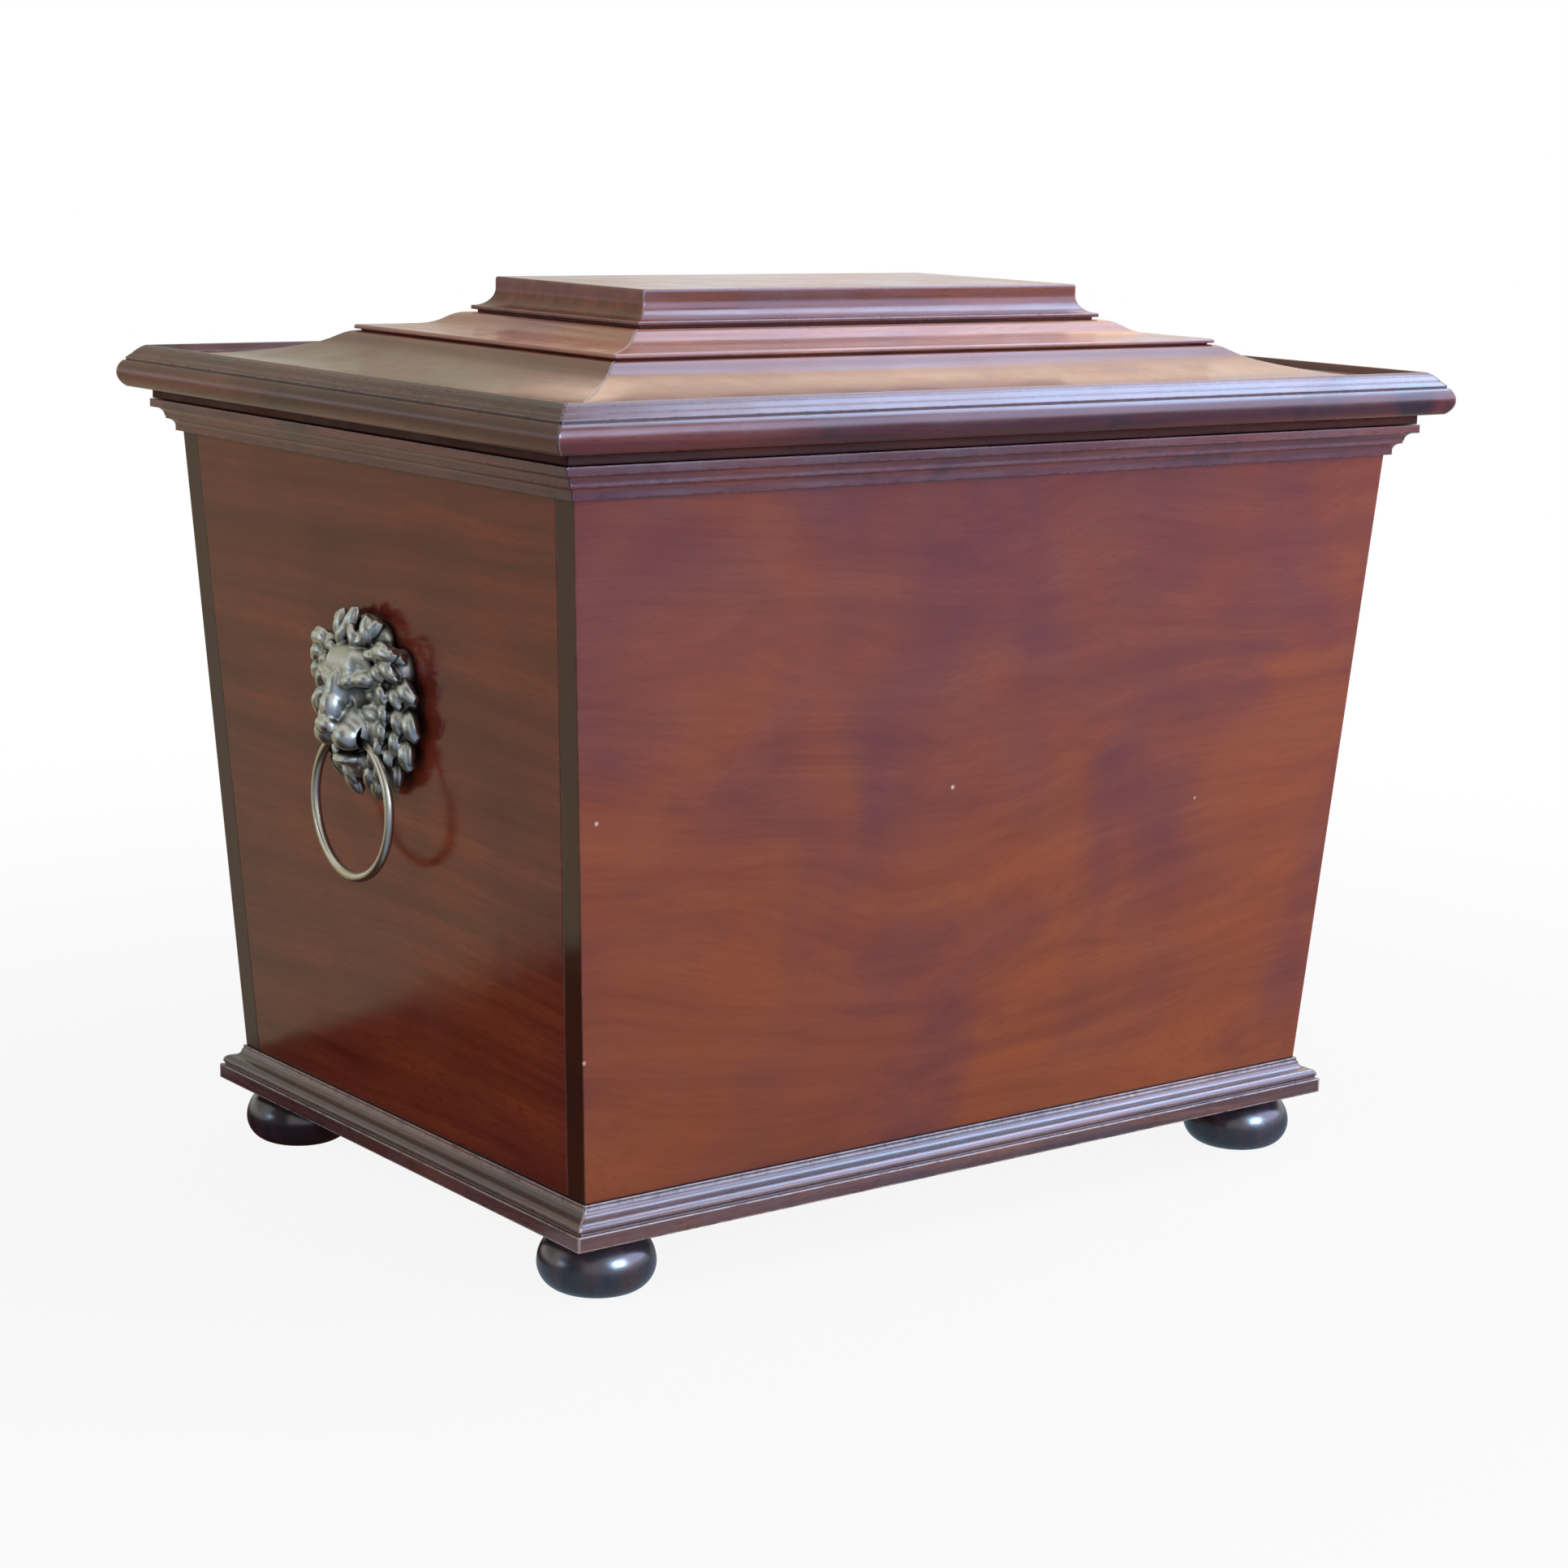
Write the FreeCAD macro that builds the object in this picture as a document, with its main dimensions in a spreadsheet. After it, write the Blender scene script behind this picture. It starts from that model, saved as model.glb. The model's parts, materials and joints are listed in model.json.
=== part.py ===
"""A sarcophagus-form mahogany cellarette: a tapered case on bun feet with a stepped, hinged lid.

Millimetres. The origin is on the floor under the middle of the case, +Z is up, the front faces -Y
and the lid is hinged along the back, +Y. Every driving size is a cell of the sheet "Sizes".
"""
import FreeCAD, Part
import os
import re

import Sketcher

DOC = FreeCAD.newDocument("Cellarette")

# Driving sizes, in millimetres.
SIZES = {
    # case
    "body_width": 520,           # outside the panels, just under the cornice
    "body_depth": 371,
    "panel_height": 335,         # from the base moulding to the underside of the cornice
    "side_taper": 23.9,          # how far each end leans in over the panel height
    "front_taper": 19.8,         # how far the front and the back lean in
    "board": 15,                 # thickness of the panels, measured level
    # bun feet
    "foot_height": 31,
    "foot_rest_r": 18,
    "foot_bun_r": 29,
    "foot_bun_level": 13,
    "foot_shoulder_r": 23.5,
    "foot_shoulder_level": 25.5,
    "foot_neck_r": 21.5,
    "foot_neck_level": 27.5,
    "foot_inset": 32,            # foot axis from the outer edge of the base moulding
    "dowel_r": 8,
    "dowel_length": 14,
    # base moulding, from its underside up
    "base_seat": 11.6,           # how far it runs in under the panel
    "base_fillet": 7.6,
    "base_fillet_step": 2,
    "base_quirk": 1,
    "base_quirk_lip": 0.8,
    "base_round": 3.6,           # run and rise of the round half of the ogee
    "base_hollow": 4,            # run and rise of the hollow half
    "base_top_fillet": 2,
    "base_top_lip": 0.6,
    "base_ledge": 1.4,           # level ledge at the foot of the panel
    # cornice, from the panel out and up
    "cornice_foot_reach": 3,
    "cornice_foot_fillet": 2.4,
    "cornice_low_cove": 3.8,
    "cornice_mid_fillet": 1.4,
    "cornice_mid_step": 0.4,
    "cornice_high_cove": 4.5,
    "cornice_top_step": 1.1,
    "cornice_top_fillet": 4.3,
    # lid frame and rim
    "lid_gap": 0.3,              # between the closed lid and the case
    "frame_setback": 1.1,        # the lid frame stands this far inside the cornice's edge
    "frame_thick": 5.7,
    "frame_width": 62,
    "rim_seat": 10,              # where the rim meets the field, out from the body
    "rim_underside": 21.6,       # reach of the flat underside
    "rim_nose_height": 13.8,
    "rim_nose_lean": 1.3,
    "rim_nose_bulge": 3.4,
    "rim_quirk": 1,
    "rim_line": 0.5,             # fine steps between the facets
    "rim_facet_run": 2.4,
    "rim_facet_rise": 2.4,
    "rim_crest_rise": 1.4,
    "rim_crest": 1,
    # lid field: the wide hollow boards
    "field_edge": 18.2,
    "field_flat": 6,
    "field_sweep": 53,
    "field_sweep_rise": 7.4,
    "field_cove": 10.5,
    "field_cove_rise": 4.9,
    "field_cove_bulge": 0.45,
    "field_shoulder": 6.5,
    "field_shoulder_rise": 2.6,
    "field_shoulder_bulge": 0.4,
    "field_seat": 14,
    # lid step
    "step_setback": 65.6,        # the step's edge, in from the body
    "step_recess": 0.9,
    "step_recess_in": 2.6,
    "step_fillet": 1.5,
    "step_lip": 0.7,
    "step_run": 24.6,
    "step_run_rise": 1.7,
    "step_run_bulge": 0.25,
    "step_cove": 9.5,
    "step_cove_rise": 3.8,
    "step_cove_bulge": 0.7,
    "step_shoulder": 7,
    "step_shoulder_rise": 2.7,
    "step_shoulder_bulge": 0.5,
    "step_seat": 16,
    # lid top block
    "block_setback": 109.5,
    "block_recess": 1.5,
    "block_recess_in": 2.5,
    "block_fillet": 2.1,
    "block_fillet_lip": 1.7,
    "block_cove": 7.4,
    "block_cove_rise": 9.4,
    "block_cove_bulge": 2.2,
    "block_face": 4.3,
    "block_round": 1.3,
    # lid lining
    "lining_thick": 4,
    # bottle dividers
    "divider_thick": 6,
    "divider_height": 150,
    "lap_clearance": 0.1,
    # lion masks and rings
    "mask_level": 269,           # the middle of the casting, above the floor
    "mask_mane_width": 41,       # half-width to the middle of the locks
    "mask_mane_height": 39,
    "mask_mane_depth": 13,
    "mask_lock_r": 10.5,
    "mask_lock_sink": 4.5,       # the lower locks are set into the back plate by this much
    "mask_face_depth": 22,
    "mask_face_width": 27,
    "mask_face_height": 35,
    "mask_muzzle_r": 15.5,
    "mask_muzzle_out": 16.5,
    "mask_muzzle_drop": 13,
    "mask_brow_r": 9,
    "mask_brow_out": 14,
    "mask_brow_spread": 9,
    "mask_brow_rise": 12,
    "mask_ear_r": 8,
    "mask_ear_out": 6,
    "mask_ear_spread": 30,
    "mask_ear_rise": 28,
    "mask_chin_r": 8,
    "mask_chin_out": 2.5,
    "mask_chin_drop": 30,
    "ring_r": 36,                # to the middle of the wire
    "ring_wire_r": 2.4,
    "ring_out": 15,              # the ring's pivot, out from the panel
    "ring_drop": 16,             # and down from the middle of the mask
    "ring_clearance": 0.3,
    "ring_mouth": 17,            # half-length of the hole through the muzzle
    "stud_r": 2,
    "stud_spacing": 48,
    "stud_spare": 3,             # thread beyond the nut
    "stud_clearance": 0.1,
    "nut_r": 3.9,                # across the corners, halved
    "nut_thick": 3.2,
    "washer_r": 5.5,
    "washer_thick": 1,
    # hinges
    "hinge_spread": 300,
    "hinge_length": 64,
    "leaf_thick": 2,
    "leaf_width": 27,            # from the edge of the barrel inwards
    "barrel_r": 3,
    "barrel_clearance": 0.3,
    "knuckle_gap": 0.3,
    "hinge_pin_r": 1.5,
    "hinge_pin_clearance": 0.05,
    "screw_r": 1.5,
    "screw_head_r": 2.9,
    "screw_head": 1.6,
    "screw_length": 14,
    "screw_pitch": 22,
    "screw_set": 19,             # from the edge of the barrel inwards
}

# Sizes that follow from the driving ones.
DERIVED = {
    "half_width": "body_width / 2",
    "half_depth": "body_depth / 2",
    "foot_half_width": "half_width - side_taper",
    "foot_half_depth": "half_depth - front_taper",
    "base_height": "base_fillet + base_quirk + base_quirk_lip + base_round + base_hollow"
                   " + base_top_fillet",
    "base_reach": "base_ledge + base_top_lip + base_hollow + base_round + base_fillet_step"
                  " - base_quirk_lip",
    "panel_foot": "foot_height + base_height",
    "body_top": "panel_foot + panel_height",
    "cornice_height": "cornice_foot_fillet + cornice_low_cove + cornice_mid_fillet"
                      " + cornice_high_cove + cornice_top_fillet",
    "cornice_reach": "cornice_foot_reach + cornice_low_cove + cornice_mid_step"
                     " + cornice_high_cove + cornice_top_step",
    "case_top": "body_top + cornice_height",
    "side_flare": "side_taper * cornice_height / panel_height",
    "front_flare": "front_taper * cornice_height / panel_height",
    "lid_foot": "case_top + lid_gap",
    "frame_top": "lid_foot + frame_thick",
    "field_height": "field_edge + field_sweep_rise + field_cove_rise + field_shoulder_rise",
    "field_reach_in": "field_flat + field_sweep + field_cove + field_shoulder + field_seat"
                      " - rim_seat",
    "field_top": "frame_top + field_height",
    "step_height": "step_recess + step_fillet + step_lip + step_run_rise + step_cove_rise"
                   " + step_shoulder_rise",
    "step_reach_in": "step_setback + step_lip + step_run + step_cove + step_shoulder + step_seat",
    "step_top": "field_top + step_height",
    "block_height": "block_recess + block_fillet + block_cove_rise + block_face + block_round",
    "inner_foot_width": "foot_half_width - board",
    "inner_foot_depth": "foot_half_depth - board",
    "cell_width": "inner_foot_width / 2",
    "cell_depth": "inner_foot_depth * 2 / 3",
    "divider_top": "panel_foot + divider_height",
    "divider_middle": "panel_foot + divider_height / 2",
    "divider_side_lean": "side_taper * divider_height / panel_height",
    "divider_front_lean": "front_taper * divider_height / panel_height",
    "side_lean": "atan(side_taper / panel_height)",
    "mask_face_x": "half_width - side_taper * (body_top - mask_level) / panel_height",
    "mask_reach": "mask_mane_width + mask_mane_height + mask_lock_r",
    "board_along_stud": "board * cos(side_lean)",
    "ring_x": "mask_face_x + ring_out * cos(side_lean) - ring_drop * sin(side_lean)",
    "ring_z": "mask_level - ring_out * sin(side_lean) - ring_drop * cos(side_lean)",
    "hinge_y": "half_depth + cornice_reach + barrel_clearance + barrel_r",
    "hinge_z": "case_top + lid_gap / 2",
    "leaf_edge": "hinge_y - barrel_r - barrel_clearance",
    "screw_y": "leaf_edge - screw_set",
}

SPARE = 5                        # how far a cutting tool overshoots
QUARTER = 1 - 0.5 ** 0.5         # rise of a quarter circle's arc over its chord, per radius

sheet = DOC.addObject("Spreadsheet::Sheet", "Sizes")
for row, (alias, number) in enumerate(SIZES.items(), start=1):
    sheet.set(f"A{row}", alias)
    sheet.set(f"B{row}", str(number))
    sheet.setAlias(f"B{row}", alias)
DOC.recompute()

NODES = {}


def tied(text):
    """An expression in the names above, written out in the sheet's cells."""
    def cell(match):
        name = match.group(0)
        if name in DERIVED:
            return "(" + tied(DERIVED[name]) + ")"
        return "Sizes." + name if name in SIZES else name
    return re.sub(r"[a-z][a-z_]*", cell, str(text))


def number(text):
    """The present value of an expression."""
    answer = sheet.evalExpression(tied(text))
    return float(getattr(answer, "Value", answer))


def bind(thing, **expressions):
    """Tie properties of a document object to the sheet; a double underscore stands for a dot."""
    for name, text in expressions.items():
        thing.setExpression(name.replace("__", "."), tied(text))
    return thing


def place(thing, x="0", y="0", z="0"):
    """Tie an object's position to the sheet."""
    return bind(thing, Placement__Base__x=x, Placement__Base__y=y, Placement__Base__z=z)


def turn(thing, axis, angle):
    """Turn an object by a fixed angle about a main axis."""
    thing.Placement = FreeCAD.Placement(FreeCAD.Vector(), FreeCAD.Rotation(FreeCAD.Vector(*axis), angle))
    return thing


def new(kind, name, **expressions):
    """A named document object with its properties tied to the sheet."""
    return bind(DOC.addObject(kind, name), **expressions)


def cut(name, base, tool):
    """One object less another."""
    result = DOC.addObject("Part::Cut", name)
    result.Base = base
    result.Tool = tool
    return result


def fuse(name, members):
    """Several objects as one solid."""
    result = DOC.addObject("Part::MultiFuse", name)
    result.Shapes = members
    return result


def group(name, members):
    """Several objects side by side, each still its own solid."""
    result = DOC.addObject("Part::Compound", name)
    result.Links = members
    return result


def mirrored(name, source, normal):
    """The opposite hand of an object, mirrored through the origin."""
    result = DOC.addObject("Part::Mirroring", name)
    result.Source = source
    result.Normal = FreeCAD.Vector(*normal)
    return result


def node(name, thing):
    """Keep an object as a finished sub-part."""
    thing.Label = name
    NODES[name] = thing
    return thing


def draw(sketch, outline):
    """Draw a closed outline, each corner and each arc tied to the sheet.

    A corner is (across, up), and an arc that arrives at a corner adds its bulge to the left.
    """
    corners = [FreeCAD.Vector(number(corner[0]), number(corner[1]), 0) for corner in outline]
    edges = []
    for index, start in enumerate(corners):
        target = (index + 1) % len(corners)
        end = corners[target]
        if len(outline[target]) == 3:
            bulge = number(outline[target][2])
            along = (end - start).normalize()
            middle = (start + end) * 0.5 + FreeCAD.Vector(-along.y, along.x, 0) * bulge
            edge = sketch.addGeometry(Part.Arc(start, middle, end), False)
        else:
            edge = sketch.addGeometry(Part.LineSegment(start, end), False)
        first = 1 if sketch.getPoint(edge, 1).distanceToPoint(start) < 1e-6 else 2
        edges.append((edge, first, 3 - first))
    for index, (edge, first, last) in enumerate(edges):
        following, following_first, _ = edges[(index + 1) % len(edges)]
        sketch.addConstraint(Sketcher.Constraint("Coincident", edge, last, following, following_first))
        for kind, text in (("DistanceX", outline[index][0]), ("DistanceY", outline[index][1])):
            place_of = sketch.addConstraint(
                Sketcher.Constraint(kind, -1, 1, edge, first, number(text)))
            sketch.setExpression(f"Constraints[{place_of}]", tied(text))
        target = outline[(index + 1) % len(outline)]
        if len(target) == 3:
            across = f"(({target[0]}) - ({outline[index][0]}))"
            rise = f"(({target[1]}) - ({outline[index][1]}))"
            radius = f"(({across}^2 + {rise}^2) / 4 + ({target[2]})^2) / (2 * abs({target[2]}))"
            bend = sketch.addConstraint(Sketcher.Constraint("Radius", edge, number(radius)))
            sketch.setExpression(f"Constraints[{bend}]", tied(radius))
    return sketch


def section(name, outline):
    """A moulding's section: the sketch is turned so that it lies across Y and up Z."""
    sketch = DOC.addObject("Sketcher::SketchObject", name)
    turn(sketch, (1, 1, 1), 120)
    return draw(sketch, outline)


def run_of(name, sketch, length, symmetric=True):
    """A section run along its own normal."""
    solid = new("Part::Extrusion", name, LengthFwd=length)
    solid.Base = sketch
    solid.DirMode = "Normal"
    solid.Symmetric = symmetric
    solid.Solid = True
    return solid


# How each side is turned from the back one, which runs along X and faces +Y.
SIDES = {"front": 180, "back": 0, "left": 90, "right": -90}


def mitred_set(prefix, outlines, half_x, half_y, level, inner, outer, height):
    """Four strips round a rectangle, mitred at its corners.

    outlines holds the section for the front and back and the one for the two ends, across from the
    rectangle and up from the level; inner and outer are the section's limits across.
    """
    strips = {}
    for way, outline, half, sides in (("long", outlines[0], half_x, ("front", "back")),
                                      ("short", outlines[1], half_y, ("left", "right"))):
        solid = run_of(f"{prefix}_{way}_run", section(f"{prefix}_{way}_section", outline),
                       f"2 * ({half} + {outer} + {SPARE})")
        low = f"{half} + {inner} - {SPARE}"
        high = f"{half} + {outer} + {SPARE}"
        mitre = new("Part::Wedge", f"{prefix}_{way}_mitre",
                    Xmin=f"0 - ({low})", Xmax=low, X2min=f"0 - ({high})", X2max=high,
                    Ymin=f"{inner} - {SPARE}", Ymax=f"{outer} + {SPARE}",
                    Zmin=f"0 - {SPARE}", Z2min=f"0 - {SPARE}",
                    Zmax=f"{height} + {SPARE}", Z2max=f"{height} + {SPARE}")
        for side in sides:
            strip = DOC.addObject("Part::Common", f"{prefix}_{side}")
            strip.Base = solid
            strip.Tool = mitre
            turn(strip, (0, 0, 1), SIDES[side])
            across = {"front": ("0", f"0 - ({half_y})"), "back": ("0", half_y),
                      "left": (f"0 - ({half_x})", "0"), "right": (half_x, "0")}[side]
            strips[side] = place(strip, across[0], across[1], level)
    return strips


def slab(name, low, high, foot, top):
    """A board between two levels; low and high are its rectangles there, as x, x, y, y."""
    board = new("Part::Wedge", name, Ymin=foot, Ymax=top,
                Xmin=low[0], Xmax=low[1], Zmin=f"0 - ({low[3]})", Zmax=f"0 - ({low[2]})",
                X2min=high[0], X2max=high[1], Z2min=f"0 - ({high[3]})", Z2max=f"0 - ({high[2]})")
    return turn(board, (1, 0, 0), 90)


# ---------------------------------------------------------------- hinges, pins and their screws
def along_x(name, radius, length, x, y, z):
    """A round bar along X, centred on x."""
    bar = new("Part::Cylinder", name, Radius=radius, Height=length)
    turn(bar, (0, 1, 0), 90)
    return place(bar, f"({x}) - ({length}) / 2", y, z)


KNUCKLES = 5                     # along each hinge, counted from its left end
CASE_KNUCKLES = (0, 2, 4)
LID_KNUCKLES = (1, 3)


def hinge_leaf(name, low, knuckles, bore):
    """A leaf at the right-hand hinge: its plate, its share of the knuckles and their bore."""
    middle = "hinge_spread / 2"
    pitch = f"(hinge_length / {KNUCKLES})"
    plate = new("Part::Box", f"{name}_plate", Length="hinge_length", Width="leaf_width",
                Height="leaf_thick")
    place(plate, f"{middle} - hinge_length / 2", "leaf_edge - leaf_width", low)
    members = [plate]
    for index in knuckles:
        centre = f"{middle} + {index - (KNUCKLES - 1) / 2} * {pitch}"
        length = f"{pitch} - knuckle_gap"
        members.append(along_x(f"{name}_knuckle", "barrel_r", length, centre, "hinge_y", "hinge_z"))
        web = new("Part::Box", f"{name}_web", Length=length, Width="hinge_y - leaf_edge",
                  Height="leaf_thick")
        members.append(place(web, f"{centre} - ({length}) / 2", "leaf_edge", low))
    hole = along_x(f"{name}_bore", bore, f"hinge_length + {SPARE}", middle, "hinge_y", "hinge_z")
    return plate, cut(f"{name}_bored", fuse(f"{name}_solid", members), hole)


def screws(name, face, way):
    """Three countersunk screws of the right-hand hinge, driven up (1) or down (-1) from a face."""
    made = []
    for index in (-1, 0, 1):
        head = new("Part::Cone", f"{name}_head", Radius1="screw_head_r", Radius2="screw_r",
                   Height="screw_head")
        shank = new("Part::Cylinder", f"{name}_shank", Radius="screw_r", Height="screw_length")
        for member in (head, shank):
            if way < 0:
                turn(member, (1, 0, 0), 180)
            place(member, f"hinge_spread / 2 + {index} * screw_pitch", "screw_y", face)
        made.append(fuse(f"{name}_screw", [head, shank]))
    return group(f"{name}_screws", made)


def both_hands(name, thing):
    """An object with its mirror image across X, as one group."""
    return group(name, [thing, mirrored(f"{name}_mirror", thing, (1, 0, 0))])


case_plate, case_leaf = hinge_leaf("case_leaf", "case_top - leaf_thick", CASE_KNUCKLES, "hinge_pin_r")
lid_plate, lid_leaf = hinge_leaf("lid_leaf", "lid_foot", LID_KNUCKLES,
                                 "hinge_pin_r + hinge_pin_clearance")
case_screws = screws("case", "case_top", -1)
lid_screws = screws("lid", "lid_foot", 1)
hinge_pin = along_x("hinge_pin", "hinge_pin_r", "hinge_length - knuckle_gap", "hinge_spread / 2",
                    "hinge_y", "hinge_z")

for leaf_of, leaf, driven in (("case", case_leaf, case_screws), ("lid", lid_leaf, lid_screws)):
    leaf = cut(f"hinge_leaf_{leaf_of}", leaf, driven)
    node(f"hinge_leaf_{leaf_of}_right", leaf)
    node(f"hinge_leaf_{leaf_of}_left", mirrored(f"hinge_leaf_{leaf_of}_mirror", leaf, (1, 0, 0)))
node("hinge_pin_right", hinge_pin)
node("hinge_pin_left", mirrored("hinge_pin_mirror", hinge_pin, (1, 0, 0)))
all_case_screws = node("hinge_screws_case", both_hands("case_screw_pairs", case_screws))
all_lid_screws = node("hinge_screws_lid", both_hands("lid_screw_pairs", lid_screws))
case_recess = both_hands("case_recess", case_plate)
lid_recess = both_hands("lid_recess", lid_plate)

# ---------------------------------------------------------------- lion masks, rings and fixings
# The right-hand ones are made, each in the panel's own leaning frame: out of the face, and up it.
MANE_LOCKS = 18                  # round the edge of each casting
LOW_LOCKS = (120, 240)           # the locks between these angles from the top are set deeper


def on_panel(thing, out="0", across="0", up="0"):
    """Stand an object on the leaning face of the right-hand panel."""
    turn(thing, (0, 1, 0), 90)
    place(thing, f"mask_face_x + ({out}) * cos(side_lean) + ({up}) * sin(side_lean)", across,
          f"mask_level - ({out}) * sin(side_lean) + ({up}) * cos(side_lean)")
    return bind(thing, Placement__Rotation__Angle="90 deg + side_lean")


def ball(name, radius, out, across, up):
    """A ball set on the panel's face."""
    return on_panel(new("Part::Sphere", name, Radius=radius), out, across, up)


def mask_forms():
    """The casting's main forms: mane, face, muzzle, brows, ears, chin and fixing studs."""
    forms = []
    for index in range(MANE_LOCKS):
        angle = 360 * (index + 0.5) / MANE_LOCKS
        low = LOW_LOCKS[0] < angle < LOW_LOCKS[1]
        forms.append(ball("mane_lock", "mask_lock_r", "0 - mask_lock_sink" if low else "0",
                          f"mask_mane_width * sin({angle})", f"mask_mane_height * cos({angle})"))
    for name, depth, height, width in (
            ("mane", "mask_mane_depth", "mask_mane_height", "mask_mane_width"),
            ("face", "mask_face_depth", "mask_face_height", "mask_face_width")):
        forms.append(on_panel(new("Part::Ellipsoid", name, Radius1=depth, Radius2=height,
                                  Radius3=width)))
    forms.append(ball("muzzle", "mask_muzzle_r", "mask_muzzle_out", "0", "0 - mask_muzzle_drop"))
    forms.append(ball("chin", "mask_chin_r", "mask_chin_out", "0", "0 - mask_chin_drop"))
    for hand in ("", "0 - "):
        forms.append(ball("brow", "mask_brow_r", "mask_brow_out", f"{hand}mask_brow_spread",
                          "mask_brow_rise"))
        forms.append(ball("ear", "mask_ear_r", "mask_ear_out", f"{hand}mask_ear_spread",
                          "mask_ear_rise"))
    return forms


def through_panel(name, radius, length, out, kind="Part::Cylinder"):
    """A pair of round pieces on the stud axes, running out from a distance off the face."""
    made = []
    for hand in ("", "0 - "):
        if kind == "Part::Prism":
            piece = new(kind, name, Circumradius=radius, Height=length)
        else:
            piece = new(kind, name, Radius=radius, Height=length)
        made.append(on_panel(piece, out, "0", f"{hand}stud_spacing / 2"))
    return made


def behind_panel(name):
    """A block that fills the side of the face where the panel is."""
    block = new("Part::Box", name, Length="2 * mask_reach", Width="2 * mask_reach",
                Height="mask_reach")
    return on_panel(block, "0 - mask_reach", "0 - mask_reach", "mask_reach")


def mouth_hole():
    """The hole that the ring's wire sweeps as it swings about its pivot, flared to both sides."""
    flare = "ring_r - ring_wire_r - ring_clearance"
    edge = f"(ring_r - sqrt(({flare})^2 - ring_mouth^2))"
    throat = f"(ring_r - ({flare}))"
    body = DOC.addObject("PartDesign::Body", "mouth_hole")
    sketch = body.newObject("Sketcher::SketchObject", "mouth_section")
    plane = next(f for f in body.Origin.OriginFeatures if f.Role == "XY_Plane")
    sketch.AttachmentSupport = [(plane, "")]
    sketch.MapMode = "FlatFace"
    draw(sketch, [("0", "0 - ring_mouth"), (edge, "0 - ring_mouth"),
                  (edge, "ring_mouth", f"{edge} - {throat}"), ("0", "ring_mouth")])
    spun = body.newObject("PartDesign::Revolution", "mouth_spin")
    spun.Profile = sketch
    spun.ReferenceAxis = (sketch, ["V_Axis"])
    spun.Angle = 360
    body.Tip = spun
    return place(body, "ring_x", "0", "ring_z")


head = cut("mask_head", fuse("mask_union", mask_forms()), behind_panel("mask_back"))
stud_length = "board_along_stud + washer_thick + nut_thick + stud_spare"
studs = through_panel("stud", "stud_r", f"{stud_length} + stud_r", f"0 - ({stud_length})")
casting = cut("mask", fuse("mask_and_studs", [head] + studs), mouth_hole())
node("mask_right", casting)
node("mask_left", mirrored("mask_mirror", casting, (1, 0, 0)))

ring = new("Part::Torus", "ring", Radius1="ring_r", Radius2="ring_wire_r")
place(turn(ring, (0, 1, 0), 90), "ring_x", "0", "ring_z - ring_r")
node("ring_right", ring)
node("ring_left", mirrored("ring_mirror", ring, (1, 0, 0)))

washer_out = "0 - board_along_stud - washer_thick"
nut_out = f"{washer_out} - nut_thick"
washer_blanks = through_panel("washer", "washer_r", "washer_thick", washer_out)
nut_blanks = through_panel("nut", "nut_r", "nut_thick", nut_out, "Part::Prism")
washers = [cut("washer_bored", blank, stud) for blank, stud in zip(washer_blanks, studs)]
nuts = [cut("nut_bored", blank, stud) for blank, stud in zip(nut_blanks, studs)]
node("handle_washers", both_hands("washer_pairs", group("washers", washers)))
node("handle_nuts", both_hands("nut_pairs", group("nuts", nuts)))
stud_holes = group("stud_holes", through_panel(
    "stud_hole", "stud_r + stud_clearance", f"board + 2 * {SPARE}", f"0 - board - {SPARE}"))

# ---------------------------------------------------------------- case
end_board = slab(
    "end_board",
    ("foot_half_width - board", "foot_half_width", "board - foot_half_depth",
     "foot_half_depth - board"),
    ("half_width + side_flare - board", "half_width + side_flare",
     "board - half_depth - front_flare", "half_depth + front_flare - board"),
    "panel_foot", "case_top")
bored_end = cut("bored_end_board", end_board, stud_holes)
node("right_side_panel", bored_end)
node("left_side_panel", mirrored("end_board_mirror", bored_end, (1, 0, 0)))
long_board = slab(
    "long_board",
    ("0 - foot_half_width", "foot_half_width", "0 - foot_half_depth", "board - foot_half_depth"),
    ("0 - half_width - side_flare", "half_width + side_flare", "0 - half_depth - front_flare",
     "board - half_depth - front_flare"),
    "panel_foot", "case_top")
node("front_panel", long_board)
back_board = mirrored("back_board", long_board, (0, 1, 0))
node("back_panel", cut("back_panel_cut", cut("back_panel_let_in", back_board, case_recess),
                       all_case_screws))

base_outline = [
    ("0 - base_seat", "0"),
    ("base_reach", "0"),
    ("base_reach", "base_fillet"),
    ("base_reach - base_fillet_step", "base_fillet"),
    ("base_reach - base_fillet_step", "base_fillet + base_quirk"),
    ("base_reach - base_fillet_step + base_quirk_lip", "base_fillet + base_quirk + base_quirk_lip"),
    ("base_ledge + base_top_lip + base_hollow",
     "base_fillet + base_quirk + base_quirk_lip + base_round", f"0 - base_round * {QUARTER}"),
    ("base_ledge + base_top_lip", "base_height - base_top_fillet", f"base_hollow * {QUARTER}"),
    ("base_ledge", "base_height - base_top_fillet"),
    ("base_ledge", "base_height"),
    ("0 - base_seat", "base_height"),
]
base = mitred_set("base_moulding", (base_outline, base_outline), "foot_half_width",
                  "foot_half_depth", "foot_height", "0 - base_seat", "base_reach", "base_height")
for side, strip in base.items():
    node(f"base_moulding_{side}", strip)


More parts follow.
